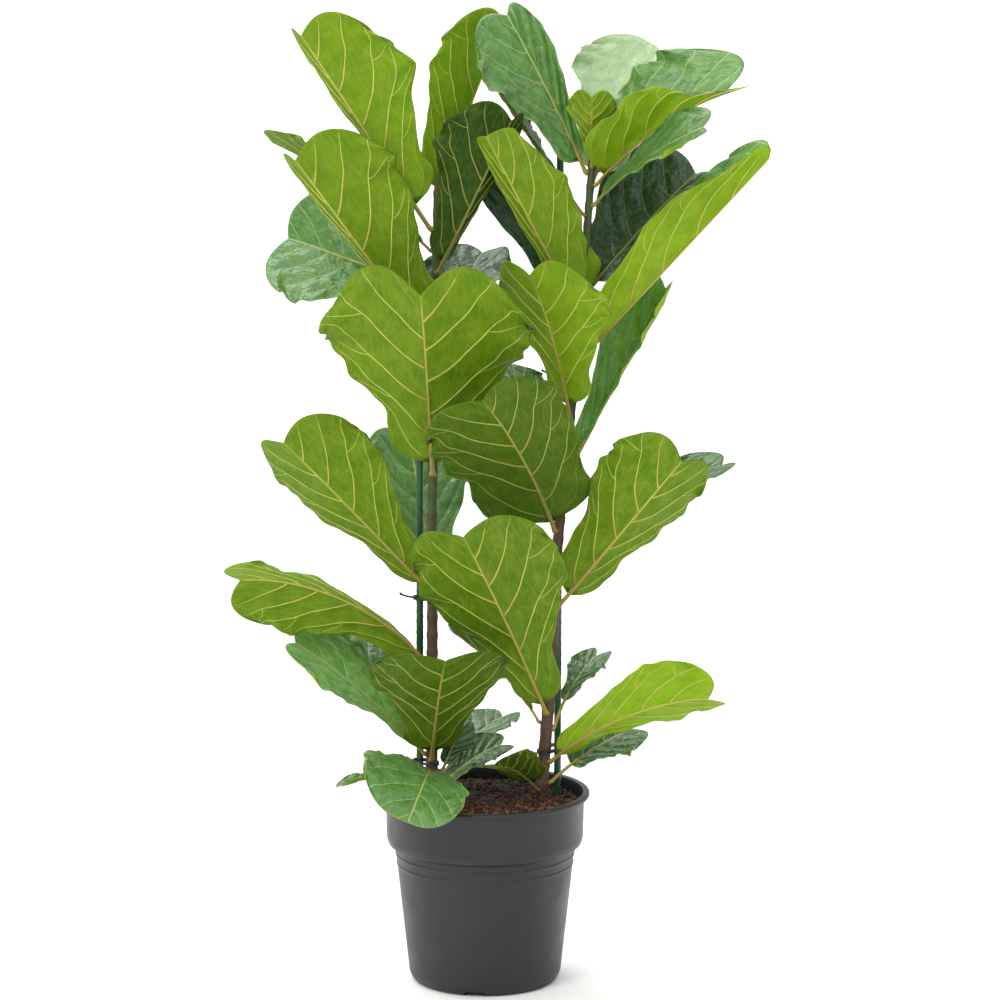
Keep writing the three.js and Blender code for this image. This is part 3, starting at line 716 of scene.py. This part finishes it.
LEAVES = {
    "left_leaf_01": dict(at=218, turn=330, tip=(18, 22, 268), width=80, roll=20, half=(0.8, 0.7), young=0),
    "left_leaf_02": dict(at=226, turn=40, tip=(20, 95, 285), width=86, stalk=40, young=0),
    "left_leaf_03": dict(at=226, turn=200, tip=(-156, -40, 236), width=48, roll=10),
    "left_leaf_04": dict(at=236, turn=0, tip=(-28, 8, 292), width=48, bow=4, roll=80, young=-0.6),
    "left_leaf_05": dict(
        at=240, turn=250, tip=(-84, -160, 222), width=134, bow=34, roll=-20, half=(1.1, 0.8), notch=4,
        young=0.6
    ),
    "left_leaf_06": dict(at=262, turn=195, tip=(-214, -20, 396), width=114, stalk=34, roll=-30, young=0.9),
    "left_leaf_07": dict(at=256, turn=270, tip=(-43, -130, 398), width=166, young=-0.5),
    "left_leaf_08": dict(at=290, turn=90, tip=(-180, 90, 386), width=100, stalk=50, roll=-10, young=0),
    "left_leaf_09": dict(at=366, turn=240, tip=(-272, -80, 478), width=118, sway=36, roll=90, fold=(8, 75)),
    "left_leaf_10": dict(at=430, turn=60, tip=(-90, 130, 612), width=130, stalk=50, young=0.5),
    "left_leaf_11": dict(at=452, turn=250, tip=(-223, -60, 630), width=144, roll=75, fold=(45, 5)),
    "left_leaf_12": dict(at=585, turn=270, tip=(-69, -120, 800), width=240, notch=42, young=0.35),
    "left_leaf_13": dict(at=716, turn=60, tip=(-3, 110, 826), width=110, young=-0.6),
    "left_leaf_14": dict(
        at=730, turn=268, tip=(-206, -80, 944), width=184, stalk=30, bow=4, roll=75, fold=(65, 5),
        half=(0.3, 1), waist=0.5, young=0.4
    ),
    "left_leaf_15": dict(at=790, turn=120, tip=(-226, 110, 842), width=150, roll=-60, young=0.6),
    "left_leaf_16": dict(
        at=812, turn=285, tip=(30, -44, 985), width=140, bow=4, roll=-75, fold=(5, 60), half=(1, 0.4),
        young=-1
    ),
    "left_leaf_17": dict(at=836, turn=150, tip=(-240, 70, 954), width=110, roll=20, young=0),
    "left_leaf_18": dict(
        at=860, turn=200, tip=(-200, -50, 1078), width=190, stalk=44, bow=4, roll=75, fold=(65, 5),
        half=(0.3, 1), taper=(0, 0.25), waist=0.42, young=0.5
    ),
    "left_leaf_19": dict(
        at=888, turn=60, tip=(24, 70, 1085), width=136, roll=-80, fold=(5, 50), half=(1.05, 0.35),
        waist=0.6, young=0.5
    ),
    "right_leaf_01": dict(at=218, turn=240, tip=(10, -64, 264), width=80, roll=20, waist=0.7, young=-0.6),
    "right_leaf_02": dict(at=226, turn=340, tip=(170, 35, 284), width=90, stalk=40, roll=30, young=0),
    "right_leaf_03": dict(
        at=251, turn=310, tip=(250, -80, 344), width=114, sway=-18, roll=-70, fold=(20, 40),
        half=(0.85, 1), young=1.1
    ),
    "right_leaf_04": dict(
        at=288, turn=330, tip=(128, 54, 366), width=78, stalk=44, half=(1, 0.6), young=0.1
    ),
    "right_leaf_05": dict(at=296, turn=180, tip=(-36, 45, 394), width=80, roll=30, young=0),
    "right_leaf_06": dict(
        at=308, turn=260, tip=(-23, -135, 537), width=178, roll=28, half=(0.95, 1), notch=20, waist=0.35,
        young=0.0
    ),
    "right_leaf_07": dict(
        at=430, turn=285, tip=(218, -80, 612), width=150, stalk=34, bow=4, roll=-80, fold=(5, 50),
        half=(1, 0.85), waist=0.5, young=0.2
    ),
    "right_leaf_08": dict(at=484, turn=20, tip=(272, 70, 586), width=90, roll=10, young=0),
    "right_leaf_09": dict(
        at=519, turn=235, tip=(-2, -135, 687), width=172, sway=8, roll=32, half=(1.1, 0.85), notch=14,
        waist=0.8, young=-0.45
    ),
    "right_leaf_10": dict(
        at=592, turn=330, tip=(204, 40, 792), width=120, stalk=34, bow=4, roll=60, fold=(72, 10),
        half=(1, 0.7), young=0.9
    ),
    "right_leaf_11": dict(at=604, turn=170, tip=(21, 60, 694), width=80, stalk=50, young=0),
    "right_leaf_12": dict(
        at=651, turn=260, tip=(50, -70, 818), width=150, half=(0.85, 1), notch=20, young=0.65
    ),
    "right_leaf_13": dict(
        at=715, turn=305, tip=(312, -60, 944), width=136, bow=0, roll=-30, fold=(40, 68), half=(0.85, 1),
        taper=(0.6, 0), waist=0.6, young=0.95
    ),
    "right_leaf_14": dict(
        at=756, turn=190, tip=(2, 60, 952), width=120, stalk=60, roll=-65, half=(0.75, 0.55), young=-1
    ),
    "right_leaf_15": dict(
        at=768, turn=250, tip=(2, -80, 970), width=124, roll=62, fold=(50, 5), half=(0.35, 1),
        taper=(0, 0.4), notch=0, waist=0.8, young=0.45
    ),
    "right_leaf_16": dict(
        at=792, turn=10, tip=(240, 90, 918), width=124, roll=40, half=(0.5, 1.3), waist=0.55, young=-0.8
    ),
    "right_leaf_17": dict(
        at=876, turn=225, tip=(16, 64, 1010), width=96, stalk=66, bow=0, roll=30, half=(0.95, 0.3),
        young=-0.6
    ),
    "right_leaf_18": dict(
        at=888, turn=320, tip=(238, -85, 980), width=116, roll=35, half=(0.9, 0.75), young=0.5
    ),
    "right_leaf_19": dict(
        at=910, turn=335, tip=(262, -30, 1012), width=130, bow=16, roll=0, fold=(50, 56),
        half=(0.95, 1.25), taper=(1, 0), notch=36, waist=0.8, wave=6.0, young=0.8
    ),
    "right_leaf_20": dict(
        at=912, turn=80, tip=(200, 132, 1056), width=158, stalk=24, roll=20, wave=6.0, pucker=3.0, young=1.55
    ),
    "right_leaf_21": dict(
        at=924, turn=190, tip=(25, 24, 1098), width=130, roll=-60, half=(0.45, 1), wave=6.0, pucker=5.0,
        young=0.6
    ),
    "right_leaf_22": dict(
        at=930, turn=270, tip=(118, -38, 1010), width=58, wave=5.0, pucker=3.0, young=0.6
    ),
}
STEM_GAP = 0.4 + 2.6 * 0.7  # from a stem's surface to the start of a midrib's line
BLADE_THICKNESS = 0.7
BLADE_ROWS, BLADE_COLUMNS = 66, 57
VEIN_STEP = 0.185  # distance between side veins, as a share of the blade's length
VEIN_LEAN, VEIN_TURN, VEIN_SPREAD = 0.05, 0.38, 0.25  # how a side vein leans and turns to the tip
VEIN_SIDE_SHIFT = 0.4  # veins of the two halves alternate by this share of a step
LEAF_PATTERN = {"cross_veins": 7.0, "cells": 3.0, "mottle": 22.0, "crinkle": 11.0}  # widths


def smooth(share):
    """Rises from 0 to 1 with level ends, as share goes from 0 to 1."""
    x = np.clip(share, 0, 1)
    return x * x * (3 - 2 * x)


def outline(u, waist):
    """Half width of a fiddle shape at u of its length, as a share of the widest: narrow up to a waist,
    a broad rounded upper part, and rounded ends."""
    body = waist + (1 - waist) * smooth((u - 0.12) / 0.58)
    base = np.sqrt(1 - np.clip(1 - u / 0.1, 0, 1) ** 2)
    tip = 1 - 0.1 * np.clip((u - 0.75) / 0.25, 0, 1) ** 2
    return body * base * tip


class Leaf:
    """One leaf's shape. midrib(s) runs from the stem at 0 to the tip at 1, and blade(u, v) is a point of
    the blade, with u from its base to its tip and v from -1 to 1 across."""

    def __init__(self, name, row, seed):
        self.__dict__.update({**LEAF, **row})
        chance = np.random.default_rng(seed)
        self.phase = chance.uniform(0, 2 * math.pi, 12)
        self.waves = chance.uniform(2.6, 4.2, 2)
        self.jitter = chance.uniform(-1, 1, 4)
        stem = STEMS[name.split("_")[0]]
        turn = math.radians(self.turn)
        self.out = np.array([math.cos(turn), math.sin(turn), 0.0])
        start = stem_centre(stem, self.at) + self.out * (stem_radius(stem, self.at) + STEM_GAP)
        chord = np.array(self.tip, float) - start
        self.length = np.linalg.norm(chord)
        ahead = chord / self.length
        up = np.array([0.0, 0.0, 1.0]) - ahead * ahead[2]
        up /= np.linalg.norm(up)
        roll = math.radians(self.roll)
        up = up * math.cos(roll) + np.cross(ahead, up) * math.sin(roll)
        self.aside = np.cross(up, ahead)
        push = up * self.bow + self.aside * self.sway
        bends = [start + share * chord + push for share in (0.3, 0.7)]
        self.corners = np.array([start, *bends, start + chord])
        self.bare = self.stalk / self.length

    def midrib(self, s):
        """The cubic curve on the leaf's four corners at s, and its forward direction."""
        s = np.asarray(s, float)[..., None]
        a, b, c, d = self.corners
        point = (1 - s) ** 3 * a + 3 * s * (1 - s) ** 2 * b + 3 * s**2 * (1 - s) * c + s**3 * d
        slope = (1 - s) ** 2 * (b - a) + 2 * s * (1 - s) * (c - b) + s**2 * (d - c)
        return point, slope / np.linalg.norm(slope, axis=-1, keepdims=True)

    def half_width(self, u, v):
        """Half width in millimetres of the half that v is on, its edge gently lobed."""
        side = (v >= 0).astype(int)
        half, taper = np.array(self.half)[side], np.array(self.taper)[side]
        narrowing = 1 - taper * smooth((u - 0.45) / 0.55)
        at_edge = np.sin(math.pi * self.vein_number(u, np.sign(v) + (v == 0)))
        scallops = 0.6 - np.sqrt(at_edge**2 + 0.04)
        lobes = 1 + self.scallop * scallops * smooth(u / 0.15)
        lobes = lobes + 0.025 * np.sin(2 * math.pi * 2.3 * u + self.phase[0] + side)
        lobes = lobes + 0.01 * np.sin(2 * math.pi * 7.3 * u + self.phase[1] + 2 * side)
        return self.width / 2 * half * narrowing * outline(u, self.waist) * lobes

    def vein_number(self, u, v):
        """Counts the side veins: whole on each vein's line. A vein leaves the midrib at about 50 degrees
        and turns towards the tip as it nears the edge."""
        q = np.abs(v)
        foot = (u - VEIN_LEAN * q - VEIN_TURN * q**2) / (1 + VEIN_SPREAD * q)
        uneven = foot + 0.02 * self.jitter[0] * np.sin(9 * foot + self.phase[2])
        return uneven / VEIN_STEP + VEIN_SIDE_SHIFT * (0.5 + 0.5 * np.tanh(v / 0.03)) + 0.2 * self.jitter[1]

    def blade(self, u, v):
        """A point of the blade. The half blade is an arc that starts at the fold and bends by the cup. On it
        lie ripples along the edge, quilting between the veins, and a few slow waves."""
        u, v = np.broadcast_arrays(np.asarray(u, float), np.asarray(v, float))
        s = self.bare + (1 - self.bare) * u
        q, side = np.abs(v), (v >= 0).astype(int)
        point, forward = self.midrib(s)
        across = self.aside - forward * (forward @ self.aside)[..., None]
        across /= np.linalg.norm(across, axis=-1, keepdims=True)
        normal = np.cross(forward, across)
        half = self.half_width(u, v)
        fold, bend = np.radians(np.array(self.fold))[side], math.radians(self.cup)
        sideways = half * (np.sin(fold + bend * q) - np.sin(fold)) / bend
        lift = half * (np.cos(fold) - np.cos(fold + bend * q)) / bend
        tip_share = np.clip((u - 0.4) / 0.6, 0, 1) ** 2
        base_share = np.clip(1 - u / 0.3, 0, 1) ** 2
        roundness = 1 - np.sqrt(np.clip(1 - q * q, 0, 1))
        shift = tip_share * (self.notch * np.sin(math.pi * q) - 0.6 * half * roundness) - base_share * 8 * q
        sign = np.sign(v)
        flat = point + forward * shift[..., None] + across * (sideways * sign)[..., None]
        flat = flat + normal * lift[..., None]
        slant = (fold + bend * q)[..., None]
        upward = normal * np.cos(slant) - across * np.sin(slant) * sign[..., None]
        size = half / 70
        edge = self.phase[3 + side]
        ripple = np.sin(2 * math.pi * self.waves[side] * u + edge)
        ripple = ripple + 0.4 * np.sin(2 * math.pi * 8 * u + 2 * edge)
        ripple = self.wave * size * q**3 * ripple * smooth(u / 0.15) * 0.8
        quilt = np.abs(np.sin(math.pi * self.vein_number(u, v))) ** 0.7 - 0.5
        quilt = self.pucker * quilt * smooth(q / 0.12) * smooth((1.02 - q) / 0.25)
        quilt = quilt * smooth(u / 0.1) * smooth((1 - u) / 0.1)
        slow = 2.6 * size * np.sin(5 * u + self.phase[5]) * np.sin(2.6 * v + self.phase[6]) * smooth(q / 0.3)
        crease = -0.7 * np.exp(-((q * half / 3.0) ** 2))
        return flat + upward * (ripple + quilt + slow + crease)[..., None]

    def normal(self, u, v):
        """Upward unit normal of the rippled blade, from its points a hundredth further along and across."""
        low_u, high_u = np.clip(u - 0.006, 0, 1), np.clip(u + 0.006, 0, 1)
        low_v, high_v = np.clip(v - 0.012, -1, 1), np.clip(v + 0.012, -1, 1)
        along = self.blade(high_u, v) - self.blade(low_u, v)
        across = self.blade(u, high_v) - self.blade(u, low_v)
        made = np.cross(along, across)
        return made / np.linalg.norm(made, axis=-1, keepdims=True)

    def spots(self, u, v):
        """What the finishes read at each point: millimetres along, across and from the edge, and then the
        vein number, millimetres from vein to vein, and the leaf's age setting, which also carries painted
        light and shade."""
        u, v = np.broadcast_arrays(np.asarray(u, float), np.asarray(v, float))
        blade_length = self.length * (1 - self.bare)
        half = self.half_width(u, v)
        edge = np.minimum((1 - np.abs(v)) * half, (1 - u) * blade_length)
        spacing = np.full(u.shape, VEIN_STEP * blade_length * 0.8)
        flat = np.stack([u * blade_length, v * half, edge], -1)
        vein = np.stack([self.vein_number(u, v), spacing, np.full(u.shape, float(self.young))], -1)
        return flat, vein


def blade_surface(leaf):
    """A closed thin blade. Each row is a ring: over the upper face from one edge to the other and back
    under it. The two faces stand half the thickness either side and meet at the edges and both ends."""
    u = np.linspace(0, 1, BLADE_ROWS)[:, None]
    t = np.linspace(1, -1, BLADE_COLUMNS)
    v = (0.55 * t + 0.45 * np.sin(t * math.pi / 2))[None, :]
    middle, upward = leaf.blade(u, v), leaf.normal(u + 0 * v, v + 0 * u)
    thickness = BLADE_THICKNESS / 2 * np.sqrt(np.clip(1 - np.abs(v) ** 14, 0, 1))
    thickness = thickness * np.sqrt(np.clip(1 - np.abs(2 * u - 1) ** 30, 0, 1))
    offset = upward * thickness[..., None]
    upper, under = middle + offset, middle - offset
    points = np.concatenate([upper, under[:, -2:0:-1]], axis=1)
    flat, vein = leaf.spots(u, v)
    flat = np.concatenate([flat, flat[:, -2:0:-1]], axis=1)
    vein = np.concatenate([vein, vein[:, -2:0:-1]], axis=1)
    faces = ring_faces(BLADE_ROWS, points.shape[1])
    under_face = np.tile(np.arange(points.shape[1]) >= BLADE_COLUMNS - 1, BLADE_ROWS - 1).astype(int)
    return points.reshape(-1, 3), faces, under_face, flat.reshape(-1, 3), vein.reshape(-1, 3)


def raised_rib(path, outward, radius, sides):
    """A rib carried along a path: a ring at each point, of the given radius across and 0.75 of it in
    the outward direction, closed to a point at both ends."""
    ahead = np.gradient(path, axis=0)
    ahead /= np.linalg.norm(ahead, axis=1, keepdims=True)
    side = np.cross(outward, ahead)
    side /= np.linalg.norm(side, axis=1, keepdims=True)
    top = np.cross(ahead, side)
    angle = np.linspace(0, 2 * math.pi, sides, endpoint=False)[:, None]
    ring = np.cos(angle) * side[:, None] + 0.75 * np.sin(angle) * top[:, None]
    points = path[:, None] + ring * radius[:, None, None]
    ends = [np.repeat(path[i][None, None], sides, axis=1) for i in (0, -1)]
    return np.concatenate([ends[0], points, ends[1]])


def vein_lines(leaf):
    """Lines of the raised veins as (u, v, radius) arrays: each side vein where the vein number is whole,
    and a fork that leaves it for the edge at six tenths of its way."""
    lines = []
    foot = np.linspace(-0.05, 0.95, 400)
    thick = 1.1 * math.sqrt(leaf.width / 150)
    for way in (-1, 1):
        number = leaf.vein_number(foot, np.zeros(foot.shape)) + VEIN_SIDE_SHIFT * 0.5 * way
        first, last = math.ceil(number[0]), math.floor(number[-1])
        for k in range(first, last + 1):
            c = float(np.interp(k, number, foot))
            q = np.linspace(0.0, 0.93, 22)
            u = c * (1 + VEIN_SPREAD * q) + VEIN_LEAN * q + VEIN_TURN * q**2
            keep = (u < 0.965) & (u > 0.01)
            if keep.sum() < 6:
                continue
            q, u = q[keep], u[keep]
            radius = thick * (1 - 0.72 * q / q[-1]) * (1 if c > 0.02 else 0.7)
            lines.append((u, way * q, radius))
            if q[-1] > 0.75:
                step = np.linspace(0, 1, 9)
                start = 0.6
                fork_u = float(np.interp(start, q, u)) + 0.02 * step - 0.015 * np.sin(math.pi * step)
                fork_q = start + (0.93 - start) * step
                fork_u = fork_u + 0.05 * step**2
                if c > 0.1:
                    lines.append((fork_u, way * fork_q, thick * (0.42 - 0.2 * step)))
    return lines


def ribs_surface(leaf):
    """The stalk and midrib as one tapering rib, and the raised side veins, on the under face."""
    share = np.concatenate([np.linspace(0, leaf.bare, 12)[:-1], np.linspace(leaf.bare, 0.985, 46)])
    u = np.clip((share - leaf.bare) / (1 - leaf.bare), 0, 1)
    line, forward = leaf.midrib(share)
    under = -leaf.normal(np.clip(u, 0.01, 1), np.zeros(u.shape))
    under[share <= leaf.bare] = under[np.argmax(share > leaf.bare)]
    stalk_radius = 2.5 * (leaf.width / 150) ** 0.3
    radius = stalk_radius * (1 - 0.8 * u**0.55) * (1 + 0.5 * np.clip(1 - share * leaf.length / 7, 0, 1))
    line = line + under * (u > 0)[:, None] * (0.35 * radius * smooth(u / 0.05) + 0.3)[:, None]
    line[0] -= leaf.out * 2.4
    pieces = [(raised_rib(line, under, radius, 12), u, 0 * u)]
    for vein_u, vein_v, vein_radius in vein_lines(leaf):
        below = -leaf.normal(vein_u, vein_v)
        path = leaf.blade(vein_u, vein_v) + below * (BLADE_THICKNESS / 2 + 0.1 * vein_radius)[:, None]
        pieces.append((raised_rib(path, below, vein_radius, 7), vein_u, np.abs(vein_v)))
    points, faces, spots, count = [], [], [], 0
    for rings, u, q in pieces:
        sides = rings.shape[1]
        faces.append(ring_faces(len(rings), sides, first=count))
        young = np.full(len(rings), leaf.young)
        ends = np.stack([np.pad(u, 1, mode="edge"), np.pad(q, 1, mode="edge"), young], -1)
        spots.append(np.repeat(ends, sides, axis=0))
        points.append(rings.reshape(-1, 3))
        count += rings.shape[0] * sides
    return np.concatenate(points), np.concatenate(faces), np.concatenate(spots)


def leaf_parts(tree):
    """The numbers that both faces of a blade share: distance to the nearest side vein, to the midrib
    and to the edge in millimetres, the age setting with its painted light and shade, fine veins,
    mottling and crinkles."""
    flat = add_node(tree, "ShaderNodeAttribute", {"attribute_name": "flat"})
    flat = add_node(tree, "ShaderNodeSeparateXYZ", {}, {"Vector": flat.outputs["Vector"]})
    vein = add_node(tree, "ShaderNodeAttribute", {"attribute_name": "vein"})
    vein = add_node(tree, "ShaderNodeSeparateXYZ", {}, {"Vector": vein.outputs["Vector"]})
    past_whole = math_node(tree, "FRACT", math_node(tree, "ADD", vein.outputs["X"], 0.5))
    from_whole = math_node(tree, "ABSOLUTE", math_node(tree, "SUBTRACT", past_whole, 0.5))
    vein_distance = math_node(tree, "MULTIPLY", from_whole, vein.outputs["Y"])
    rib_distance = math_node(tree, "ABSOLUTE", flat.outputs["Y"])
    # Cross veins run from one side vein to the next, and finer veins make cells between them.
    ladder_place = add_node(
        tree,
        "ShaderNodeCombineXYZ",
        {},
        {
            "X": math_node(tree, "MULTIPLY", flat.outputs["Y"], 1 / LEAF_PATTERN["cross_veins"]),
            "Y": math_node(tree, "MULTIPLY", vein.outputs["X"], 1.6),
            "Z": vein.outputs["Z"],
        },
    )
    ladder = add_node(
        tree,
        "ShaderNodeTexVoronoi",
        {"feature": "DISTANCE_TO_EDGE"},
        {"Vector": ladder_place.outputs["Vector"], "Scale": 1.0},
    )
    cell_place = add_node(tree, "ShaderNodeCombineXYZ", {}, {"X": flat.outputs["X"], "Y": flat.outputs["Y"]})
    cells = add_node(
        tree,
        "ShaderNodeTexVoronoi",
        {"feature": "DISTANCE_TO_EDGE"},
        {"Vector": cell_place.outputs["Vector"], "Scale": 1 / LEAF_PATTERN["cells"]},
    )
    mottle, crinkle = [
        add_node(
            tree,
            "ShaderNodeTexNoise",
            {},
            {
                "Vector": cell_place.outputs["Vector"],
                "Scale": 1 / LEAF_PATTERN[pattern],
                "Detail": detail,
                "Roughness": roughness,
            },
        )
        for pattern, detail, roughness in (("mottle", 4.0, 0.6), ("crinkle", 2.0, 0.5))
    ]
    return {
        "vein": vein_distance,
        "rib": rib_distance,
        "edge": flat.outputs["Z"],
        "young": vein.outputs["Z"],
        "ladder": fade(tree, ladder.outputs["Distance"], 0.0, 0.09),
        "cells": fade(tree, cells.outputs["Distance"], 0.0, 0.12),
        "mottle": mottle.outputs["Fac"],
        "crinkle": crinkle.outputs["Fac"],
    }


def by_age_and_painted_light(tree, young, colours):
    """One colour from four, for age settings of -1, 0, 1 and 2: dark with age and painted shade, mature,
    bright with youth and painted backlight, and new and paled by a painted glare.
    """
    # The old colour is painted shade as well as age, the bright one partly painted backlight, and the new one
    # a painted glare.
    old_and_shaded, mature, bright, new = [linear(colour) for colour in colours]
    grown = mix(tree, fade(tree, young, -1.0, 0.0, 0.0, 1.0), old_and_shaded, mature)
    grown = mix(tree, fade(tree, young, 0.0, 1.0, 0.0, 1.0), grown, bright)
    return mix(tree, fade(tree, young, 1.0, 2.0, 0.0, 1.0), grown, new)


def leaf_finish(name, colours, roughness, vein_width, vein_share, glow_share):
    """One face of a leaf: living tissue under a wax skin. The tissue's colour goes with the leaf's age
    setting, which also paints light and shade: darker on a leaf in the shadow of others, lighter on a
    backlit one and paler where a glossy one glares. It is mottled, and pales along the midrib, side
    veins, cross veins and edge. Part of the light goes through it and comes out yellower."""
    material, tree = new_material(name)
    part = leaf_parts(tree)
    tissue = by_age_and_painted_light(tree, part["young"], colours["tissue"])
    deeper = by_age_and_painted_light(tree, part["young"], colours["deeper"])
    tissue = mix(tree, fade(tree, part["mottle"], 0.3, 0.7), tissue, deeper)
    pale = by_age_and_painted_light(tree, part["young"], colours["vein"])
    tissue = mix(tree, math_node(tree, "MULTIPLY", part["cells"], 0.10), tissue, pale)
    tissue = mix(tree, math_node(tree, "MULTIPLY", part["ladder"], 0.22), tissue, pale)
    side_vein = fade(tree, part["vein"], 0.35 * vein_width, vein_width)
    rib = fade(tree, part["rib"], 0.5 * vein_width, 1.4 * vein_width)
    edge = fade(tree, part["edge"], 0.5, 1.8)
    lines = math_node(tree, "MAXIMUM", side_vein, rib)
    lines = math_node(tree, "MAXIMUM", lines, math_node(tree, "MULTIPLY", edge, 0.8))
    tissue = mix(tree, math_node(tree, "MULTIPLY", lines, vein_share), tissue, pale)
    height = math_node(tree, "ADD", side_vein, math_node(tree, "MULTIPLY", part["ladder"], 0.3))
    height = math_node(tree, "ADD", height, math_node(tree, "MULTIPLY", part["cells"], 0.15))
    relief = add_node(
        tree,
        "ShaderNodeBump",
        {"invert": colours["sunk"]},
        {"Strength": 0.5, "Distance": 0.0004, "Height": height},
    )
    relief = add_node(
        tree,
        "ShaderNodeBump",
        {},
        {
            "Strength": 0.8,
            "Distance": colours["crinkle"],
            "Height": part["crinkle"],
            "Normal": relief.outputs["Normal"],
        },
    )
    wax = add_node(
        tree,
        "ShaderNodeBsdfPrincipled",
        {},
        {
            "Base Color": tissue,
            "Roughness": roughness,
            "Specular IOR Level": colours["gloss"],
            "Normal": relief.outputs["Normal"],
        },
    )
    glow = add_node(
        tree,
        "ShaderNodeBsdfTranslucent",
        {},
        {"Color": by_age_and_painted_light(tree, part["young"], colours["glow"])},
    )
    layers = {"Fac": glow_share, "Shader": wax.outputs["BSDF"], "Shader_001": glow.outputs["BSDF"]}
    both = add_node(tree, "ShaderNodeMixShader", {}, layers)
    show(tree, both.outputs["Shader"])
    return material


def rib_finish():
    """Raised veins and stalk: smooth yellow-green, browner near the leaf's base, and darker on a leaf whose
    age setting is below 0, a darkening that is partly age and partly painted shade for leaves in the
    shadow of others.
    """
    material, tree = new_material("yellow_green_rib")
    spot = add_node(tree, "ShaderNodeAttribute", {"attribute_name": "flat"})
    spot = add_node(tree, "ShaderNodeSeparateXYZ", {}, {"Vector": spot.outputs["Vector"]})
    along = fade(tree, spot.outputs["X"], 0.0, 0.75, 0.0, 1.0)
    near_base = mix(tree, along, linear("94803A"), linear("B4AE4A"))
    outer = mix(tree, fade(tree, spot.outputs["Y"], 0.05, 0.6, 0.0, 1.0), near_base, linear("BDC75A"))
    place = add_node(tree, "ShaderNodeTexCoord").outputs["Object"]
    streaks = fade(tree, noise(tree, place, 0.009), 0.4, 0.7, 0.0, 0.35)
    streaked = mix(tree, streaks, outer, linear("8F8A3C"))
    # Painted shade: ribs of a leaf set below 0 darken towards 5A5A22, partly for age and partly for the
    # shadow of other leaves.
    old_and_shaded = fade(tree, spot.outputs["Z"], -1.0, 0.0, 0.6, 0.0)
    matt(tree, colour=mix(tree, old_and_shaded, streaked, linear("5A5A22")), roughness=0.45, ior=1.45)
    return material


# Each row of four colours is for an old, a mature, a young and a new leaf. The old colour is also
# painted shade, the young one is lightened as painted backlight, and the new one is paled as a painted
# glare. Veins are sunk in the upper face and raised on the under one. crinkle is the depth of the
# crinkles in metres.
UPPER = {
    "tissue": ("1E4A18", "3F6F30", "6C9C48", "D2DFC8"),
    "deeper": ("123810", "2A5A24", "4C803A", "BACDB0"),
    "glow": ("2C5410", "4C7A1C", "A0C81E", "C8DCA8"),
    "vein": ("5E7C4C", "A4C080", "B2CB8C", "DCE8C8"),
    "sunk": True,
    "gloss": 0.6,
    "crinkle": 0.0040,
}
UNDER = {
    "tissue": ("34580A", "7A9A1C", "9ABA14", "B4CC70"),
    "deeper": ("244A04", "5C8A08", "80AA04", "9CBC50"),
    "glow": ("2C5000", "689604", "A8D204", "C4E070"),
    "vein": ("7E8E38", "B8C458", "BFC860", "D4DC9C"),
    "sunk": False,
    "gloss": 0.2,
    "crinkle": 0.0012,
}
upper_finish = leaf_finish("waxy_upper_leaf", UPPER, 0.28, 0.9, 0.75, 0.35)
under_finish = leaf_finish("dull_under_leaf", UNDER, 0.5, 1.2, 0.5, 0.4)
rib_skin = rib_finish()
for seed, (name, row) in enumerate(LEAVES.items()):
    leaf = Leaf(name, row, 100 + seed)
    points, faces, under_face, flat, vein = blade_surface(leaf)
    rib_points, rib_faces, rib_spots = ribs_surface(leaf)
    green = put_mesh(
        name + "_living",
        np.concatenate([points, rib_points]),
        np.concatenate([faces, rib_faces + len(points)]),
        [upper_finish, under_finish, rib_skin],
        np.concatenate([under_face, np.full(len(rib_faces), 2)]),
        {
            "flat": np.concatenate([flat, rib_spots]),
            "vein": np.concatenate([vein, 0 * rib_spots]),
        },
    )
    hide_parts(name)
    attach(green, "root")
